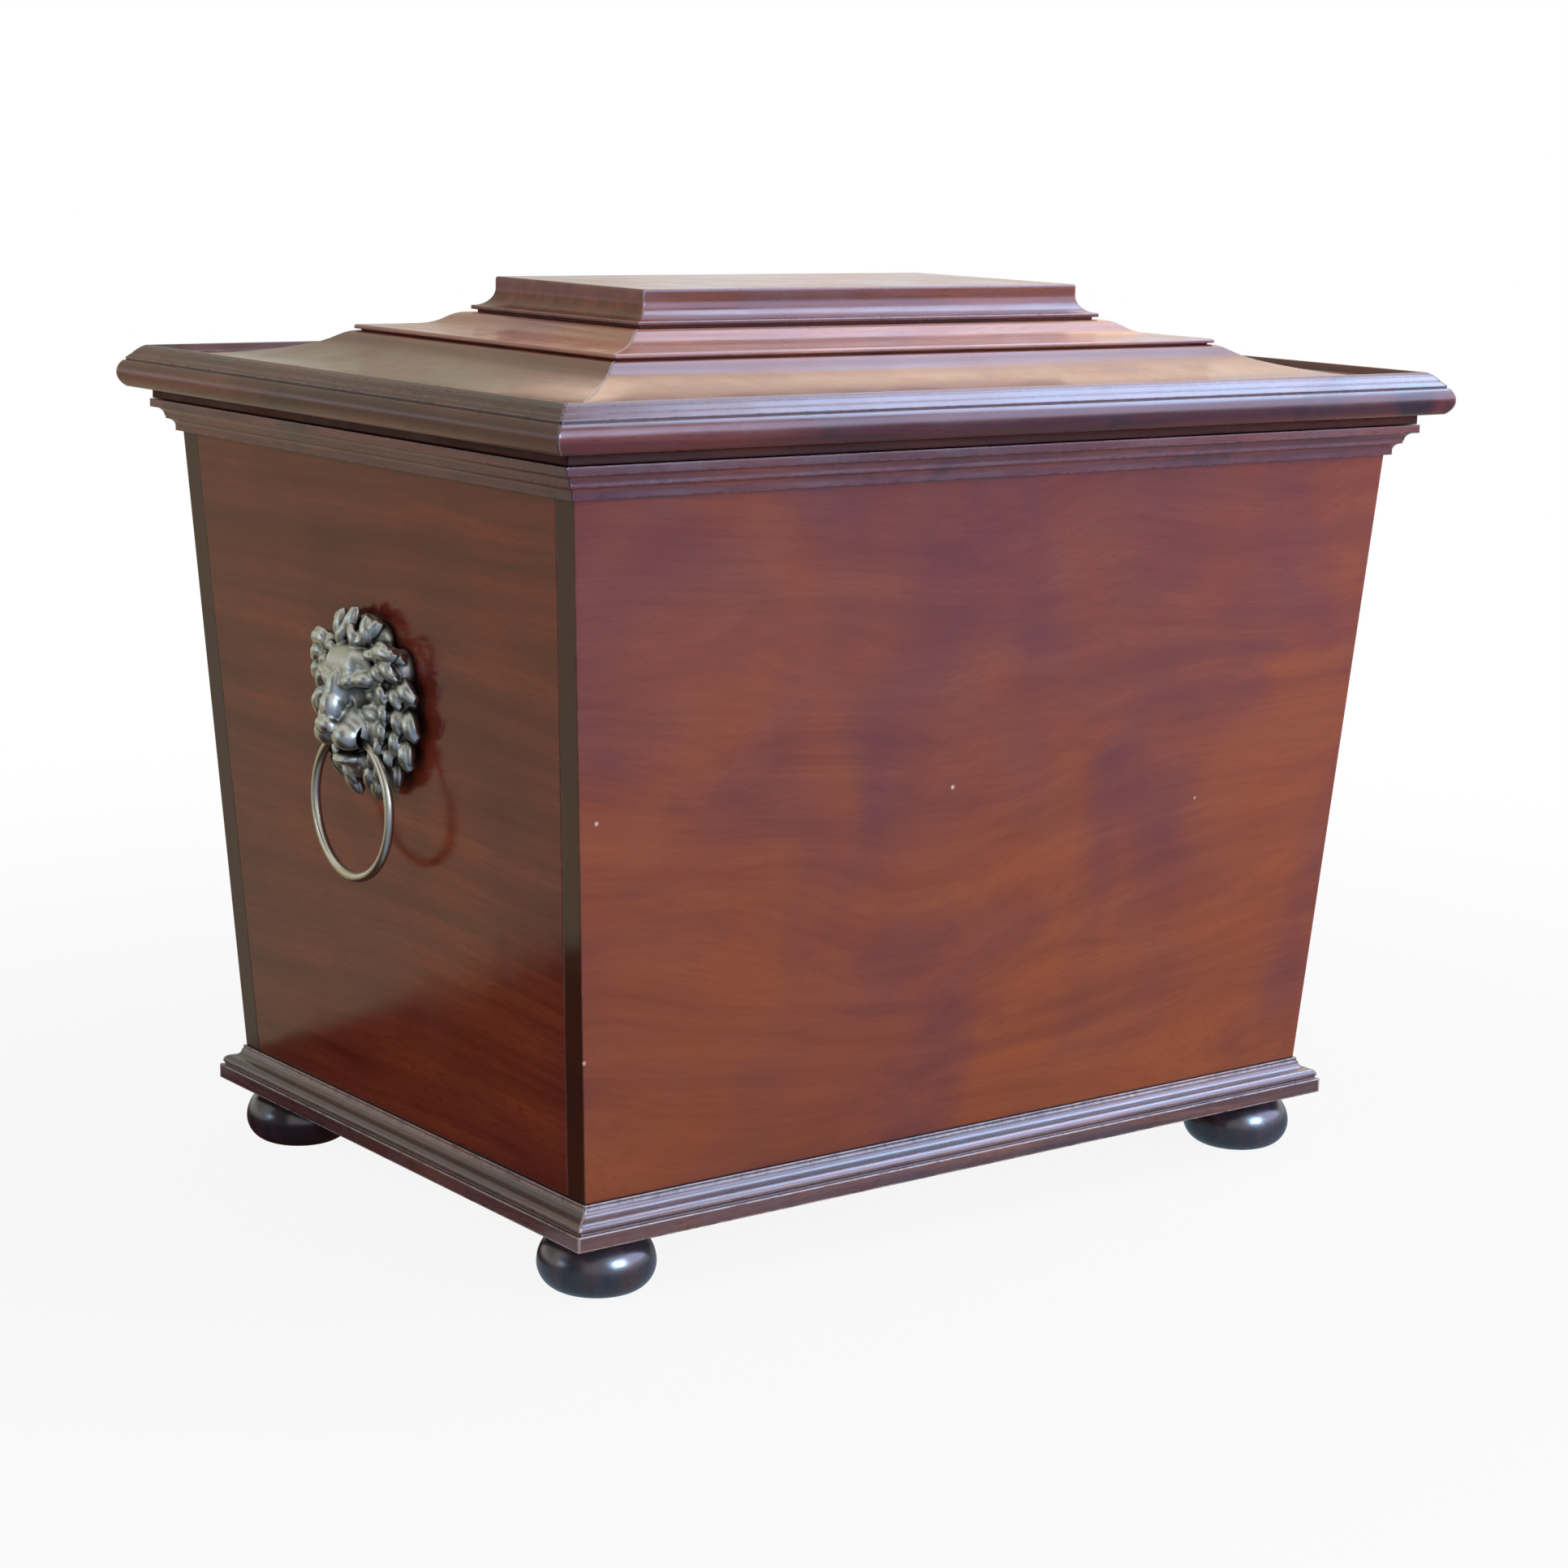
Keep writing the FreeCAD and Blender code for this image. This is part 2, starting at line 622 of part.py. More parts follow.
def bun_foot(name, x_sign, y_sign):
    """A turned foot with its dowel."""
    body = DOC.addObject("PartDesign::Body", name)
    sketch = body.newObject("Sketcher::SketchObject", f"{name}_section")
    plane = next(f for f in body.Origin.OriginFeatures if f.Role == "XZ_Plane")
    sketch.AttachmentSupport = [(plane, "")]
    sketch.MapMode = "FlatFace"
    lower_run = "(foot_bun_r - foot_rest_r)"
    lower_r = f"(({lower_run}^2 + foot_bun_level^2) / (2 * {lower_run}))"
    lower_chord = f"sqrt({lower_run}^2 + foot_bun_level^2)"
    upper_run = "(foot_bun_r - foot_shoulder_r)"
    upper_rise = "(foot_shoulder_level - foot_bun_level)"
    upper_r = f"(({upper_run}^2 + {upper_rise}^2) / (2 * {upper_run}))"
    upper_chord = f"sqrt({upper_run}^2 + {upper_rise}^2)"
    draw(sketch, [
        ("0", "0"),
        ("foot_rest_r", "0"),
        ("foot_bun_r", "foot_bun_level",
         f"0 - ({lower_r} - sqrt({lower_r}^2 - ({lower_chord})^2 / 4))"),
        ("foot_shoulder_r", "foot_shoulder_level",
         f"0 - ({upper_r} - sqrt({upper_r}^2 - ({upper_chord})^2 / 4))"),
        ("foot_neck_r", "foot_neck_level"),
        ("foot_neck_r", "foot_height"),
        ("dowel_r", "foot_height"),
        ("dowel_r", "foot_height + dowel_length"),
        ("0", "foot_height + dowel_length"),
    ])
    turned = body.newObject("PartDesign::Revolution", f"{name}_turned")
    turned.Profile = sketch
    turned.ReferenceAxis = (sketch, ["V_Axis"])
    turned.Angle = 360
    body.Tip = turned
    return place(body, f"{x_sign} * (foot_half_width + base_reach - foot_inset)",
                 f"{y_sign} * (foot_half_depth + base_reach - foot_inset)")


feet = []
for y_name, y_sign in (("front", -1), ("back", 1)):
    for x_name, x_sign in (("left", -1), ("right", 1)):
        foot_name = f"bun_foot_{y_name}_{x_name}"
        feet.append(node(foot_name, bun_foot(foot_name, x_sign, y_sign)))

floor_board = new("Part::Box", "floor_board", Length="2 * (foot_half_width - base_seat)",
                  Width="2 * (foot_half_depth - base_seat)", Height="base_height")
place(floor_board, "base_seat - foot_half_width", "base_seat - foot_half_depth", "foot_height")
node("base_board", cut("base_board_bored", floor_board, group("feet", feet)))


def cornice_outline(flare):
    """The cornice's section against a panel that leans out by flare over its height."""
    low = "cornice_foot_reach"
    mid = "(cornice_foot_reach + cornice_low_cove)"
    mid_level = "(cornice_foot_fillet + cornice_low_cove)"
    high = f"({mid} + cornice_mid_step)"
    high_level = f"({mid_level} + cornice_mid_fillet)"
    return [
        ("0", "0"),
        (low, "0"),
        (low, "cornice_foot_fillet"),
        (mid, mid_level, f"cornice_low_cove * {QUARTER}"),
        (mid, high_level),
        (high, high_level),
        ("cornice_reach - cornice_top_step", "cornice_height - cornice_top_fillet",
         f"cornice_high_cove * {QUARTER}"),
        ("cornice_reach", "cornice_height - cornice_top_fillet"),
        ("cornice_reach", "cornice_height"),
        (flare, "cornice_height"),
    ]


cornice = mitred_set("cornice", (cornice_outline("front_flare"), cornice_outline("side_flare")),
                     "half_width", "half_depth", "body_top", "0", "cornice_reach",
                     "cornice_height")
for side in ("front", "left", "right"):
    node(f"cornice_{side}", cornice[side])
node("cornice_back", cut("cornice_back_let_in", cornice["back"], case_recess))


# ---------------------------------------------------------------- bottle dividers
def notches(name, places, along_is_x, low, high):
    """Tools that cut the half laps of a slat."""
    width = "(divider_thick + 2 * lap_clearance)"
    made = []
    for spot in places:
        if along_is_x:
            tool = new("Part::Box", name, Length=width, Width="body_depth", Height=f"{high} - ({low})")
            place(tool, f"({spot}) - {width} / 2", "0 - half_depth", low)
        else:
            tool = new("Part::Box", name, Length="body_width", Width=width, Height=f"{high} - ({low})")
            place(tool, "0 - half_width", f"({spot}) - {width} / 2", low)
        made.append(tool)
    return group(f"{name}_set", made)


CROSS_PLACES = {"left": "0 - cell_width", "middle": "0", "right": "cell_width"}
LONG_PLACES = {"front": "0 - cell_depth / 2", "back": "cell_depth / 2"}

upper_laps = notches("upper_lap", CROSS_PLACES.values(), True, "divider_middle",
                     f"divider_top + {SPARE}")
lower_laps = notches("lower_lap", LONG_PLACES.values(), False, f"panel_foot - {SPARE}",
                     "divider_middle")
for side, spot in LONG_PLACES.items():
    reach = "inner_foot_width"
    rows = (f"({spot}) - divider_thick / 2", f"({spot}) + divider_thick / 2")
    slat = slab(f"long_slat_{side}", (f"0 - {reach}", reach) + rows,
                (f"0 - {reach} - divider_side_lean", f"{reach} + divider_side_lean") + rows,
                "panel_foot", "divider_top")
    node(f"divider_long_{side}", cut(f"long_slat_{side}_lapped", slat, upper_laps))
for side, spot in CROSS_PLACES.items():
    reach = "inner_foot_depth"
    rows = (f"({spot}) - divider_thick / 2", f"({spot}) + divider_thick / 2")
    slat = slab(f"cross_slat_{side}", rows + (f"0 - {reach}", reach),
                rows + (f"0 - {reach} - divider_front_lean", f"{reach} + divider_front_lean"),
                "panel_foot", "divider_top")
    node(f"divider_cross_{side}", cut(f"cross_slat_{side}_lapped", slat, lower_laps))

# ---------------------------------------------------------------- lid
frame_outline = [
    ("cornice_reach - frame_setback - frame_width", "0"),
    ("cornice_reach - frame_setback", "0"),
    ("cornice_reach - frame_setback", "frame_thick"),
    ("cornice_reach - frame_setback - frame_width", "frame_thick"),
]
frame = mitred_set("lid_frame", (frame_outline, frame_outline), "half_width", "half_depth",
                   "lid_foot", "cornice_reach - frame_setback - frame_width",
                   "cornice_reach - frame_setback", "frame_thick")
for side in ("front", "left", "right"):
    node(f"lid_frame_{side}", frame[side])
node("lid_frame_back", cut("lid_frame_back_cut", cut("lid_frame_back_let_in", frame["back"],
                                                     lid_recess), all_lid_screws))

nose_top = "(rim_underside + rim_nose_lean)"
facet = "rim_facet_run"
quirk_top = "(rim_nose_height + rim_quirk)"
rim_outline = [
    ("rim_seat", "0"),
    ("rim_underside", "0"),
    (nose_top, "rim_nose_height", "0 - rim_nose_bulge"),
    (f"{nose_top} - rim_quirk", "rim_nose_height"),
    (f"{nose_top} - rim_quirk", quirk_top),
    (f"{nose_top} - rim_line", quirk_top),
    (f"{nose_top} - rim_line - {facet}", f"{quirk_top} + rim_facet_rise"),
    (f"{nose_top} - 2 * rim_line - {facet}", f"{quirk_top} + rim_facet_rise"),
    (f"{nose_top} - 2 * rim_line - {facet}", f"{quirk_top} + rim_facet_rise + rim_line"),
    (f"{nose_top} - 2 * rim_line - 2 * {facet}", f"{quirk_top} + 2 * rim_facet_rise + rim_line"),
    (f"{nose_top} - 3 * rim_line - 2 * {facet}", f"{quirk_top} + 2 * rim_facet_rise + rim_line"),
    (f"{nose_top} - 3 * rim_line - 2 * {facet}",
     f"{quirk_top} + 2 * rim_facet_rise + 2 * rim_line"),
    (f"{nose_top} - 3 * rim_line - 3 * {facet}",
     f"{quirk_top} + 2 * rim_facet_rise + 2 * rim_line + rim_crest_rise"),
    (f"{nose_top} - 3 * rim_line - 3 * {facet} - rim_crest",
     f"{quirk_top} + 2 * rim_facet_rise + 2 * rim_line + rim_crest_rise"),
    ("rim_seat", "field_edge"),
]
rim_height = f"{quirk_top} + 2 * rim_facet_rise + 2 * rim_line + rim_crest_rise"
rim = mitred_set("lid_rim", (rim_outline, rim_outline), "half_width", "half_depth", "frame_top",
                 "rim_seat", f"{nose_top} + rim_nose_bulge", rim_height)
for side, strip in rim.items():
    node(f"lid_rim_{side}", strip)

sweep_end = "(rim_seat - field_flat - field_sweep)"
sweep_level = "(field_edge + field_sweep_rise)"
sweep_r = "((field_sweep^2 + field_sweep_rise^2) / (2 * field_sweep_rise))"
sweep_chord = "sqrt(field_sweep^2 + field_sweep_rise^2)"
field_outline = [
    ("0 - field_reach_in", "0"),
    ("rim_seat", "0"),
    ("rim_seat", "field_edge"),
    ("rim_seat - field_flat", "field_edge"),
    (sweep_end, sweep_level, f"{sweep_r} - sqrt({sweep_r}^2 - ({sweep_chord})^2 / 4)"),
    (f"{sweep_end} - field_cove", f"{sweep_level} + field_cove_rise", "field_cove_bulge"),
    (f"{sweep_end} - field_cove - field_shoulder", "field_height", "0 - field_shoulder_bulge"),
    ("0 - field_reach_in", "field_height"),
]
field = mitred_set("lid_field", (field_outline, field_outline), "half_width", "half_depth",
                   "frame_top", "0 - field_reach_in", "rim_seat", "field_height")
for side in ("front", "left", "right"):
    node(f"lid_field_{side}", field[side])
node("lid_field_back", cut("lid_field_back_cut", field["back"], all_lid_screws))

fillet_top = "(step_recess + step_fillet)"
run_start = "(0 - step_setback - step_lip)"
run_level = f"({fillet_top} + step_lip + step_run_rise)"
step_outline = [
    ("0 - step_reach_in", "0"),
    ("0 - step_setback - step_recess_in", "0"),
    ("0 - step_setback - step_recess_in", "step_recess"),
    ("0 - step_setback", "step_recess"),
    ("0 - step_setback", fillet_top),
    (run_start, f"{fillet_top} + step_lip"),
    (f"{run_start} - step_run", run_level, "step_run_bulge"),
    (f"{run_start} - step_run - step_cove", f"{run_level} + step_cove_rise", "step_cove_bulge"),
    (f"{run_start} - step_run - step_cove - step_shoulder", "step_height",
     "0 - step_shoulder_bulge"),
    ("0 - step_reach_in", "step_height"),
]
step = mitred_set("lid_step", (step_outline, step_outline), "half_width", "half_depth",
                  "field_top", "0 - step_reach_in", "0 - step_setback", "step_height")
for side, strip in step.items():
    node(f"lid_step_{side}", strip)


def block_outline(half):
    """Half the top block's section, out from its middle."""
    edge = f"({half} - block_setback)"
    cove_foot = "(block_recess + block_fillet)"
    face = f"({edge} - block_fillet_lip - block_cove)"
    return [
        ("0", "0"),
        (f"{edge} - block_recess_in", "0"),
        (f"{edge} - block_recess_in", "block_recess"),
        (edge, "block_recess"),
        (edge, cove_foot),
        (f"{edge} - block_fillet_lip", cove_foot),
        (face, f"{cove_foot} + block_cove_rise", "block_cove_bulge"),
        (face, f"{cove_foot} + block_cove_rise + block_face"),
        (f"{face} - block_round", "block_height", f"0 - block_round * {QUARTER}"),
        ("0", "block_height"),
    ]


def block_run(name, half, other, angle):
    """The block's whole section run across the other direction."""
    side = run_of(f"{name}_half", section(f"{name}_section", block_outline(half)),
                  f"2 * {other}")
    solid = fuse(f"{name}_both", [side, mirrored(f"{name}_mirror", side, (0, 1, 0))])
    return turn(solid, (0, 0, 1), angle)


block = DOC.addObject("Part::Common", "top_block")
block.Base = block_run("block_across", "half_depth", "half_width", 0)
block.Tool = block_run("block_along", "half_width", "half_width", 90)
node("lid_top_block", place(block, z="step_top"))

lining_inset = "(cornice_reach - frame_setback - frame_width)"
lining = new("Part::Box", "lining", Length=f"2 * (half_width + {lining_inset})",
             Width=f"2 * (half_depth + {lining_inset})", Height="lining_thick")
node("lid_lining", place(lining, f"0 - half_width - {lining_inset}",
                         f"0 - half_depth - {lining_inset}", "frame_top - lining_thick"))

# ---------------------------------------------------------------- check and write
DOC.recompute()
for thing in DOC.Objects:
    if "Invalid" in thing.State or "Error" in thing.State:
        raise RuntimeError(f"{thing.Name} ({thing.Label}) failed: {thing.State}")
for name, thing in NODES.items():
    if thing.Shape.isNull() or not thing.Shape.isValid() or not thing.Shape.Solids:
        raise RuntimeError(f"{name} has no valid solid")
os.makedirs("parts", exist_ok=True)
for name, thing in NODES.items():
    thing.Shape.exportStep(f"parts/{name}.step")
    box = thing.Shape.BoundBox
    print(f"{name}: {len(thing.Shape.Solids)} solid(s), {thing.Shape.Volume / 1000:.1f} cm3, "
          f"x {box.XMin:.1f} to {box.XMax:.1f}, y {box.YMin:.1f} to {box.YMax:.1f}, "
          f"z {box.ZMin:.1f} to {box.ZMax:.1f}")
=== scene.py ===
"""Looks for a sarcophagus-form mahogany cellarette with lion-mask ring handles.

Metres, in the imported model's own frame: +Z is up, the front faces -Y, and the lid is hinged along
the back. Sizes in the classes below are millimetres, turned to metres by MM where they are used.
"""

import json
import logging
import math
from dataclasses import dataclass, field
from enum import Enum

import bmesh
import bpy
from mathutils import Matrix, Vector


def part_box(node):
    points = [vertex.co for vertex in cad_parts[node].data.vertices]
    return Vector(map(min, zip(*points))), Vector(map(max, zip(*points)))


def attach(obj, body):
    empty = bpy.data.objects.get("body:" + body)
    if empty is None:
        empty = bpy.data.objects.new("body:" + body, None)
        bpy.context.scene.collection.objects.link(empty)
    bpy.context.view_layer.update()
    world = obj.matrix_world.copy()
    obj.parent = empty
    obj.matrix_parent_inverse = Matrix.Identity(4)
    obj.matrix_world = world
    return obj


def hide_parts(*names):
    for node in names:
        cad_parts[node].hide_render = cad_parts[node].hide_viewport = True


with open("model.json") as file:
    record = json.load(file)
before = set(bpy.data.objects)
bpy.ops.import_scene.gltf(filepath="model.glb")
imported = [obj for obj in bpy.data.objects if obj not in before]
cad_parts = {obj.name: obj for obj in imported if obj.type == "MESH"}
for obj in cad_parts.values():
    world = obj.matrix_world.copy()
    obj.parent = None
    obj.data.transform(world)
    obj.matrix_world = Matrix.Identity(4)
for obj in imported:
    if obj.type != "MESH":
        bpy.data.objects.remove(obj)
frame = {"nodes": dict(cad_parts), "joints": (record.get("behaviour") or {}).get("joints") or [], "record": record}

MM = 0.001
LOG = logging.getLogger("cellarette")
MIDDLE = (0.0, 0.0, 0.25)  # the place in the object that lamps and windows face, metres

Piece = bpy.types.Object
Material = bpy.types.Material
Tree = bpy.types.NodeTree
Node = bpy.types.Node
Socket = bpy.types.NodeSocket
Pair = tuple[float, float]
Triple = tuple[float, float, float]


# -------- small helpers
def linear(code: str) -> tuple[float, float, float, float]:
    """Turn an sRGB hex colour to linear.

    Args:
        code: six hex digits after a hash.

    Returns:
        Red, green and blue, from 0 to 1, and an alpha of 1.
    """
    channels = [int(code[i:i + 2], 16) / 255 for i in (1, 3, 5)]
    red, green, blue = (c / 12.92 if c <= 0.04045 else ((c + 0.055) / 1.055) ** 2.4 for c in channels)
    return red, green, blue, 1.0


def add(tree: Tree, kind: str, settings: dict | None = None, links: dict | None = None) -> Node:
    """Add a node with its settings and its links.

    Args:
        tree: the tree that the node goes into.
        kind: the node's type.
        settings: properties and input values by name, or inputs by number; "stops" is a colour
            ramp's list of position and colour.
        links: the output that feeds each input, by the input's name or number.

    Returns:
        The new node.
    """
    node = tree.nodes.new(kind)
    for name, value in (settings or {}).items():
        if name == "stops":
            ramp = node.color_ramp
            while len(ramp.elements) < len(value):
                ramp.elements.new(0.5)
            for element, (position, colour) in zip(ramp.elements, value):
                element.position = position
                element.color = colour
        elif isinstance(name, int) or (name in node.inputs and not hasattr(node, name)):
            node.inputs[name].default_value = value
        else:
            setattr(node, name, value)
    for name, source in (links or {}).items():
        tree.links.new(source, node.inputs[name])
    return node


def operate(tree: Tree, kind: str, operation: str, values: tuple) -> Node:
    """Add a maths node, where each value is an output to link or a number to set."""
    links = {index: value for index, value in enumerate(values) if isinstance(value, Socket)}
    numbers = {index: value for index, value in enumerate(values) if index not in links}
    return add(tree, kind, {"operation": operation, **numbers}, links)


def maths(tree: Tree, operation: str, *values: Socket | float) -> Socket:
    """Work on numbers."""
    return operate(tree, "ShaderNodeMath", operation, values).outputs[0]


def vectors(tree: Tree, operation: str, *values: Socket | Triple) -> Socket:
    """Work on vectors or colours."""
    return operate(tree, "ShaderNodeVectorMath", operation, values).outputs[0]


def remap(tree: Tree, value: Socket, start: float, end: float, low: float = 0.0, high: float = 1.0,
          easing: str = "LINEAR") -> Socket:
    """Turn the range from start to end to the range from low to high, and hold it there."""
    return add(tree, "ShaderNodeMapRange",
               {"From Min": start, "From Max": end, "To Min": low, "To Max": high,
                "interpolation_type": easing}, {"Value": value}).outputs["Result"]


def noise(tree: Tree, place: Socket, size: float, detail: float, roughness: float = 0.5,
          distortion: float = 0.0, output: str = "Fac") -> Socket:
    """Add noise whose features have a size in the place's own unit."""
    return add(tree, "ShaderNodeTexNoise",
               {"Scale": 1 / size, "Detail": detail, "Roughness": roughness, "Distortion": distortion},
               {"Vector": place}).outputs[output]


def ramp(tree: Tree, share: Socket, stops: list[tuple[float, tuple]]) -> Socket:
    """Colour a share by a list of positions and colours."""
    return add(tree, "ShaderNodeValToRGB", {"stops": stops}, {"Fac": share}).outputs["Color"]


def blend(tree: Tree, share: Socket, under: Socket, over: str) -> Socket:
    """Lay a share of a hex colour over a colour."""
    return add(tree, "ShaderNodeMix", {"data_type": "RGBA", 7: linear(over)},
               {0: share, 6: under}).outputs[2]


def bare_material(name: str) -> tuple[Material, Tree]:
    """Make a material with an empty tree."""
    material = bpy.data.materials.new(name)
    material.use_nodes = True
    material.node_tree.nodes.clear()
    return material, material.node_tree


def only(piece: Piece) -> Piece:
    """Make a piece the only selected and the active object."""
    bpy.ops.object.select_all(action="DESELECT")
    piece.select_set(True)
    bpy.context.view_layer.objects.active = piece
    return piece


def edit(piece: Piece) -> None:
    """Start to edit a whole piece."""
    only(piece)
    bpy.ops.object.mode_set(mode="EDIT")
    bpy.ops.mesh.select_all(action="SELECT")


def new_object(name: str, data: bpy.types.ID) -> Piece:
    """Put new data into the scene."""
    made = bpy.data.objects.new(name, data)
    bpy.context.scene.collection.objects.link(made)
    return made


def joined(parts: list[Piece], name: str) -> Piece:
    """Join several objects into one.

    Args:
        parts: the objects, at least one.
        name: the joined object's name.

    Returns:
        The joined object, with its place applied to its mesh.
    """
    only(parts[0])
    for part in parts[1:]:
        part.select_set(True)
    bpy.ops.object.join()
    bpy.ops.object.transform_apply()
    bpy.context.object.name = name
    return bpy.context.object


def modify(piece: Piece, kind: str, **settings: object) -> None:
    """Add a modifier to a piece and apply it."""
    only(piece)
    modifier = piece.modifiers.new(kind.title(), kind)
    for name, value in settings.items():
        setattr(modifier, name, value)
    bpy.ops.object.modifier_apply(modifier=modifier.name)


def dress(piece: Piece, material: Material) -> None:
    """Give a piece one material."""
    piece.data.materials.clear()
    piece.data.materials.append(material)


# -------- finishes
class Grain(Enum):
    """Which way the grain runs, as the turn that brings that way to the pattern's own X."""

    ALONG_X = (0.0, 0.0, 0.0)
    ALONG_Y = (0.0, 0.0, -math.pi / 2)
    ALONG_Z = (0.0, math.pi / 2, 0.0)


@dataclass(frozen=True)
class Cloud:
    """Soft patches of noise, and the range of the noise that they fill."""

    size: float  # mm
    detail: float
    roughness: float
    start: float
    end: float

    def share(self, tree: Tree, place: Socket, low: float = 0.0, high: float = 1.0) -> Socket:
        """How much of a patch is at each place, from low to high."""
        grey = noise(tree, place, self.size, self.detail, self.roughness)
        return remap(tree, grey, self.start, self.end, low, high)


STAINS = Cloud(60.0, 3.0, 0.5, 0.60, 0.68)
# patches of the blue-grey painted sheen
SHEEN_PATCHES = Cloud(14.0, 5.0, 0.7, 0.34, 0.62)
DULLING = Cloud(45.0, 5.0, 0.6, 0.30, 0.70)


@dataclass(frozen=True)
class Mahogany:
    """French-polished Cuban mahogany: sawn, scraped, stained and built up with shellac.

    The eye sees red-brown bands that wander along the board, short dark pores, a glassy surface
    that mirrors the room, and arrises rubbed pale. Painted light is laid in too: a highlight along
    the arrises, shade in the quirks and a blue-grey sheen in patches.
    """

    name: str
    dark: str
    middle: str
    light: str
    # colour of the rubbed arrises: bare wood, and where the finish makes it pale, a painted highlight
    bare_and_highlight: str = "#a56a4c"
    # colour of the dark stains, and of the painted shade in quirks and hollows
    grime_and_shade: str = "#170b08"
    end_grain: str = "#2a1a15"
    chip: str = "#e2cdc0"
    wander: float = 6.0  # how far the bands stray, mm
    wander_along: float = 260.0  # and over what length
    wander_across: float = 150.0
    band: float = 8.0  # width of the broad bands
    band_length: float = 420.0
    line: float = 3.2  # width of the fine ones; real ones are finer
    line_length: float = 150.0
    streak: float = 1.0  # how strongly they show
    pore: float = 0.8  # real pores are 0.2 mm, too fine to show
    pore_length: float = 9.0
    pore_depth: float = 0.008  # against the swell of the surface
    # strength of the rubbed arrises, which carry wear and a painted highlight
    wear_and_highlight: float = 0.6
    spared: float = 0.42  # how much of each arris the wear and its painted highlight miss
    rounding: float = 1.4  # how far from its arris the wear and its painted highlight reach, mm
    # strength of the painted shade that ambient occlusion lays in quirks and hollows
    painted_shade: float = 0.8
    painted_shade_reach: float = 7.0  # how far from a quirk the painted shade reaches, mm
    stain: float = 0.0  # share of dark stains
    chips: float = 0.0  # share of the places for a pale chip that have one
    chip_spacing: float = 42.0  # between those places, mm
    painted_sheen: float = 0.0  # share of a blue-grey painted sheen, in patches, standing in for reflected sky
    sheen_tint: str = "#6f7896"
    patch: float = 130.0  # size of the soft patches of warm and cool brown
    cool: Triple = (0.82, 0.74, 0.96)
    warm: Triple = (1.14, 1.06, 0.82)
    roughness: float = 0.2
    worn_roughness: float = 0.35  # more where the polish is rubbed off
    gloss: float = 0.5  # 0.5 is the plain mirror strength of shellac
    swell: float = 38.0  # size of the board's faint unevenness, mm
    relief: float = 0.35
    ends_show: bool = False  # the board's ends are dark, open grain

    def build(self, grain: Grain) -> Material:
        """Make the material for boards with the grain running one way."""
        material, tree = bare_material(f"{self.name}_{grain.name.lower()}")
        place = add(tree, "ShaderNodeTexCoord")
        along = add(tree, "ShaderNodeMapping", {"Rotation": grain.value, "Scale": (1 / MM,) * 3},
                    {"Vector": place.outputs["Object"]}).outputs[0]
        colour, pores = self.bands(tree, along)
        if self.ends_show:
            colour = self.ended(tree, place.outputs["Normal"], colour)
        if self.stain:
            colour = blend(tree, STAINS.share(tree, along, high=self.stain), colour, self.grime_and_shade)
        # Painted sheen: a blue-grey tint in patches, standing in for reflected sky.
        if self.painted_sheen:
            sheen = SHEEN_PATCHES.share(tree, along, 0.35 * self.painted_sheen, self.painted_sheen)
            colour = blend(tree, sheen, colour, self.sheen_tint)
        # Painted shade: quirks and hollows darkened by ambient occlusion.
        near = add(tree, "ShaderNodeAmbientOcclusion",
                   {"samples": 6, "Distance": self.painted_shade_reach * MM}).outputs["AO"]
        colour = blend(tree, remap(tree, near, 0.35, 0.85, self.painted_shade, 0.0), colour, self.grime_and_shade)
        # Rubbed arrises: bare wood, and a painted highlight where the colour is pale.
        rounded = add(tree, "ShaderNodeBevel", {"samples": 6, "Radius": self.rounding * MM}).outputs[0]
        bare_and_highlit = self.rubbed(tree, along, rounded, near)
        colour = blend(tree, bare_and_highlit, colour, self.bare_and_highlight)
        if self.chips:
            colour = blend(tree, self.chipped(tree, along), colour, self.chip)
        polish = DULLING.share(tree, along, 0.7 * self.roughness, 1.5 * self.roughness)
        rough = maths(tree, "MULTIPLY_ADD", bare_and_highlit, self.worn_roughness, polish)
        swell = noise(tree, along, self.swell, 1.0)
        height = maths(tree, "MULTIPLY_ADD", pores, -self.pore_depth, swell)
        bump = add(tree, "ShaderNodeBump", {"Strength": self.relief, "Distance": 0.6 * MM},
                   {"Height": height, "Normal": rounded}).outputs[0]
        shader = add(tree, "ShaderNodeBsdfPrincipled", {"IOR": 1.5, "Specular IOR Level": self.gloss},
                     {"Base Color": colour, "Roughness": rough, "Normal": bump})
        add(tree, "ShaderNodeOutputMaterial", links={"Surface": shader.outputs[0]})
        return material

    def wandering(self, tree: Tree, along: Socket) -> Socket:
        """Bend the pattern's space so that the bands wander and close into swirls.

        Args:
            tree: the material's tree.
            along: the place in millimetres, along the grain first.

        Returns:
            The bent place in millimetres.
        """
        stretched = vectors(tree, "DIVIDE", along,
                            (self.wander_along, self.wander_across, self.wander_across))
        centred = vectors(tree, "SUBTRACT", noise(tree, stretched, 1.0, 1.5, 0.45, output="Color"),
                          (0.5, 0.5, 0.5))
        return vectors(tree, "MULTIPLY_ADD", centred, (0, 4 * self.wander, 4 * self.wander), along)

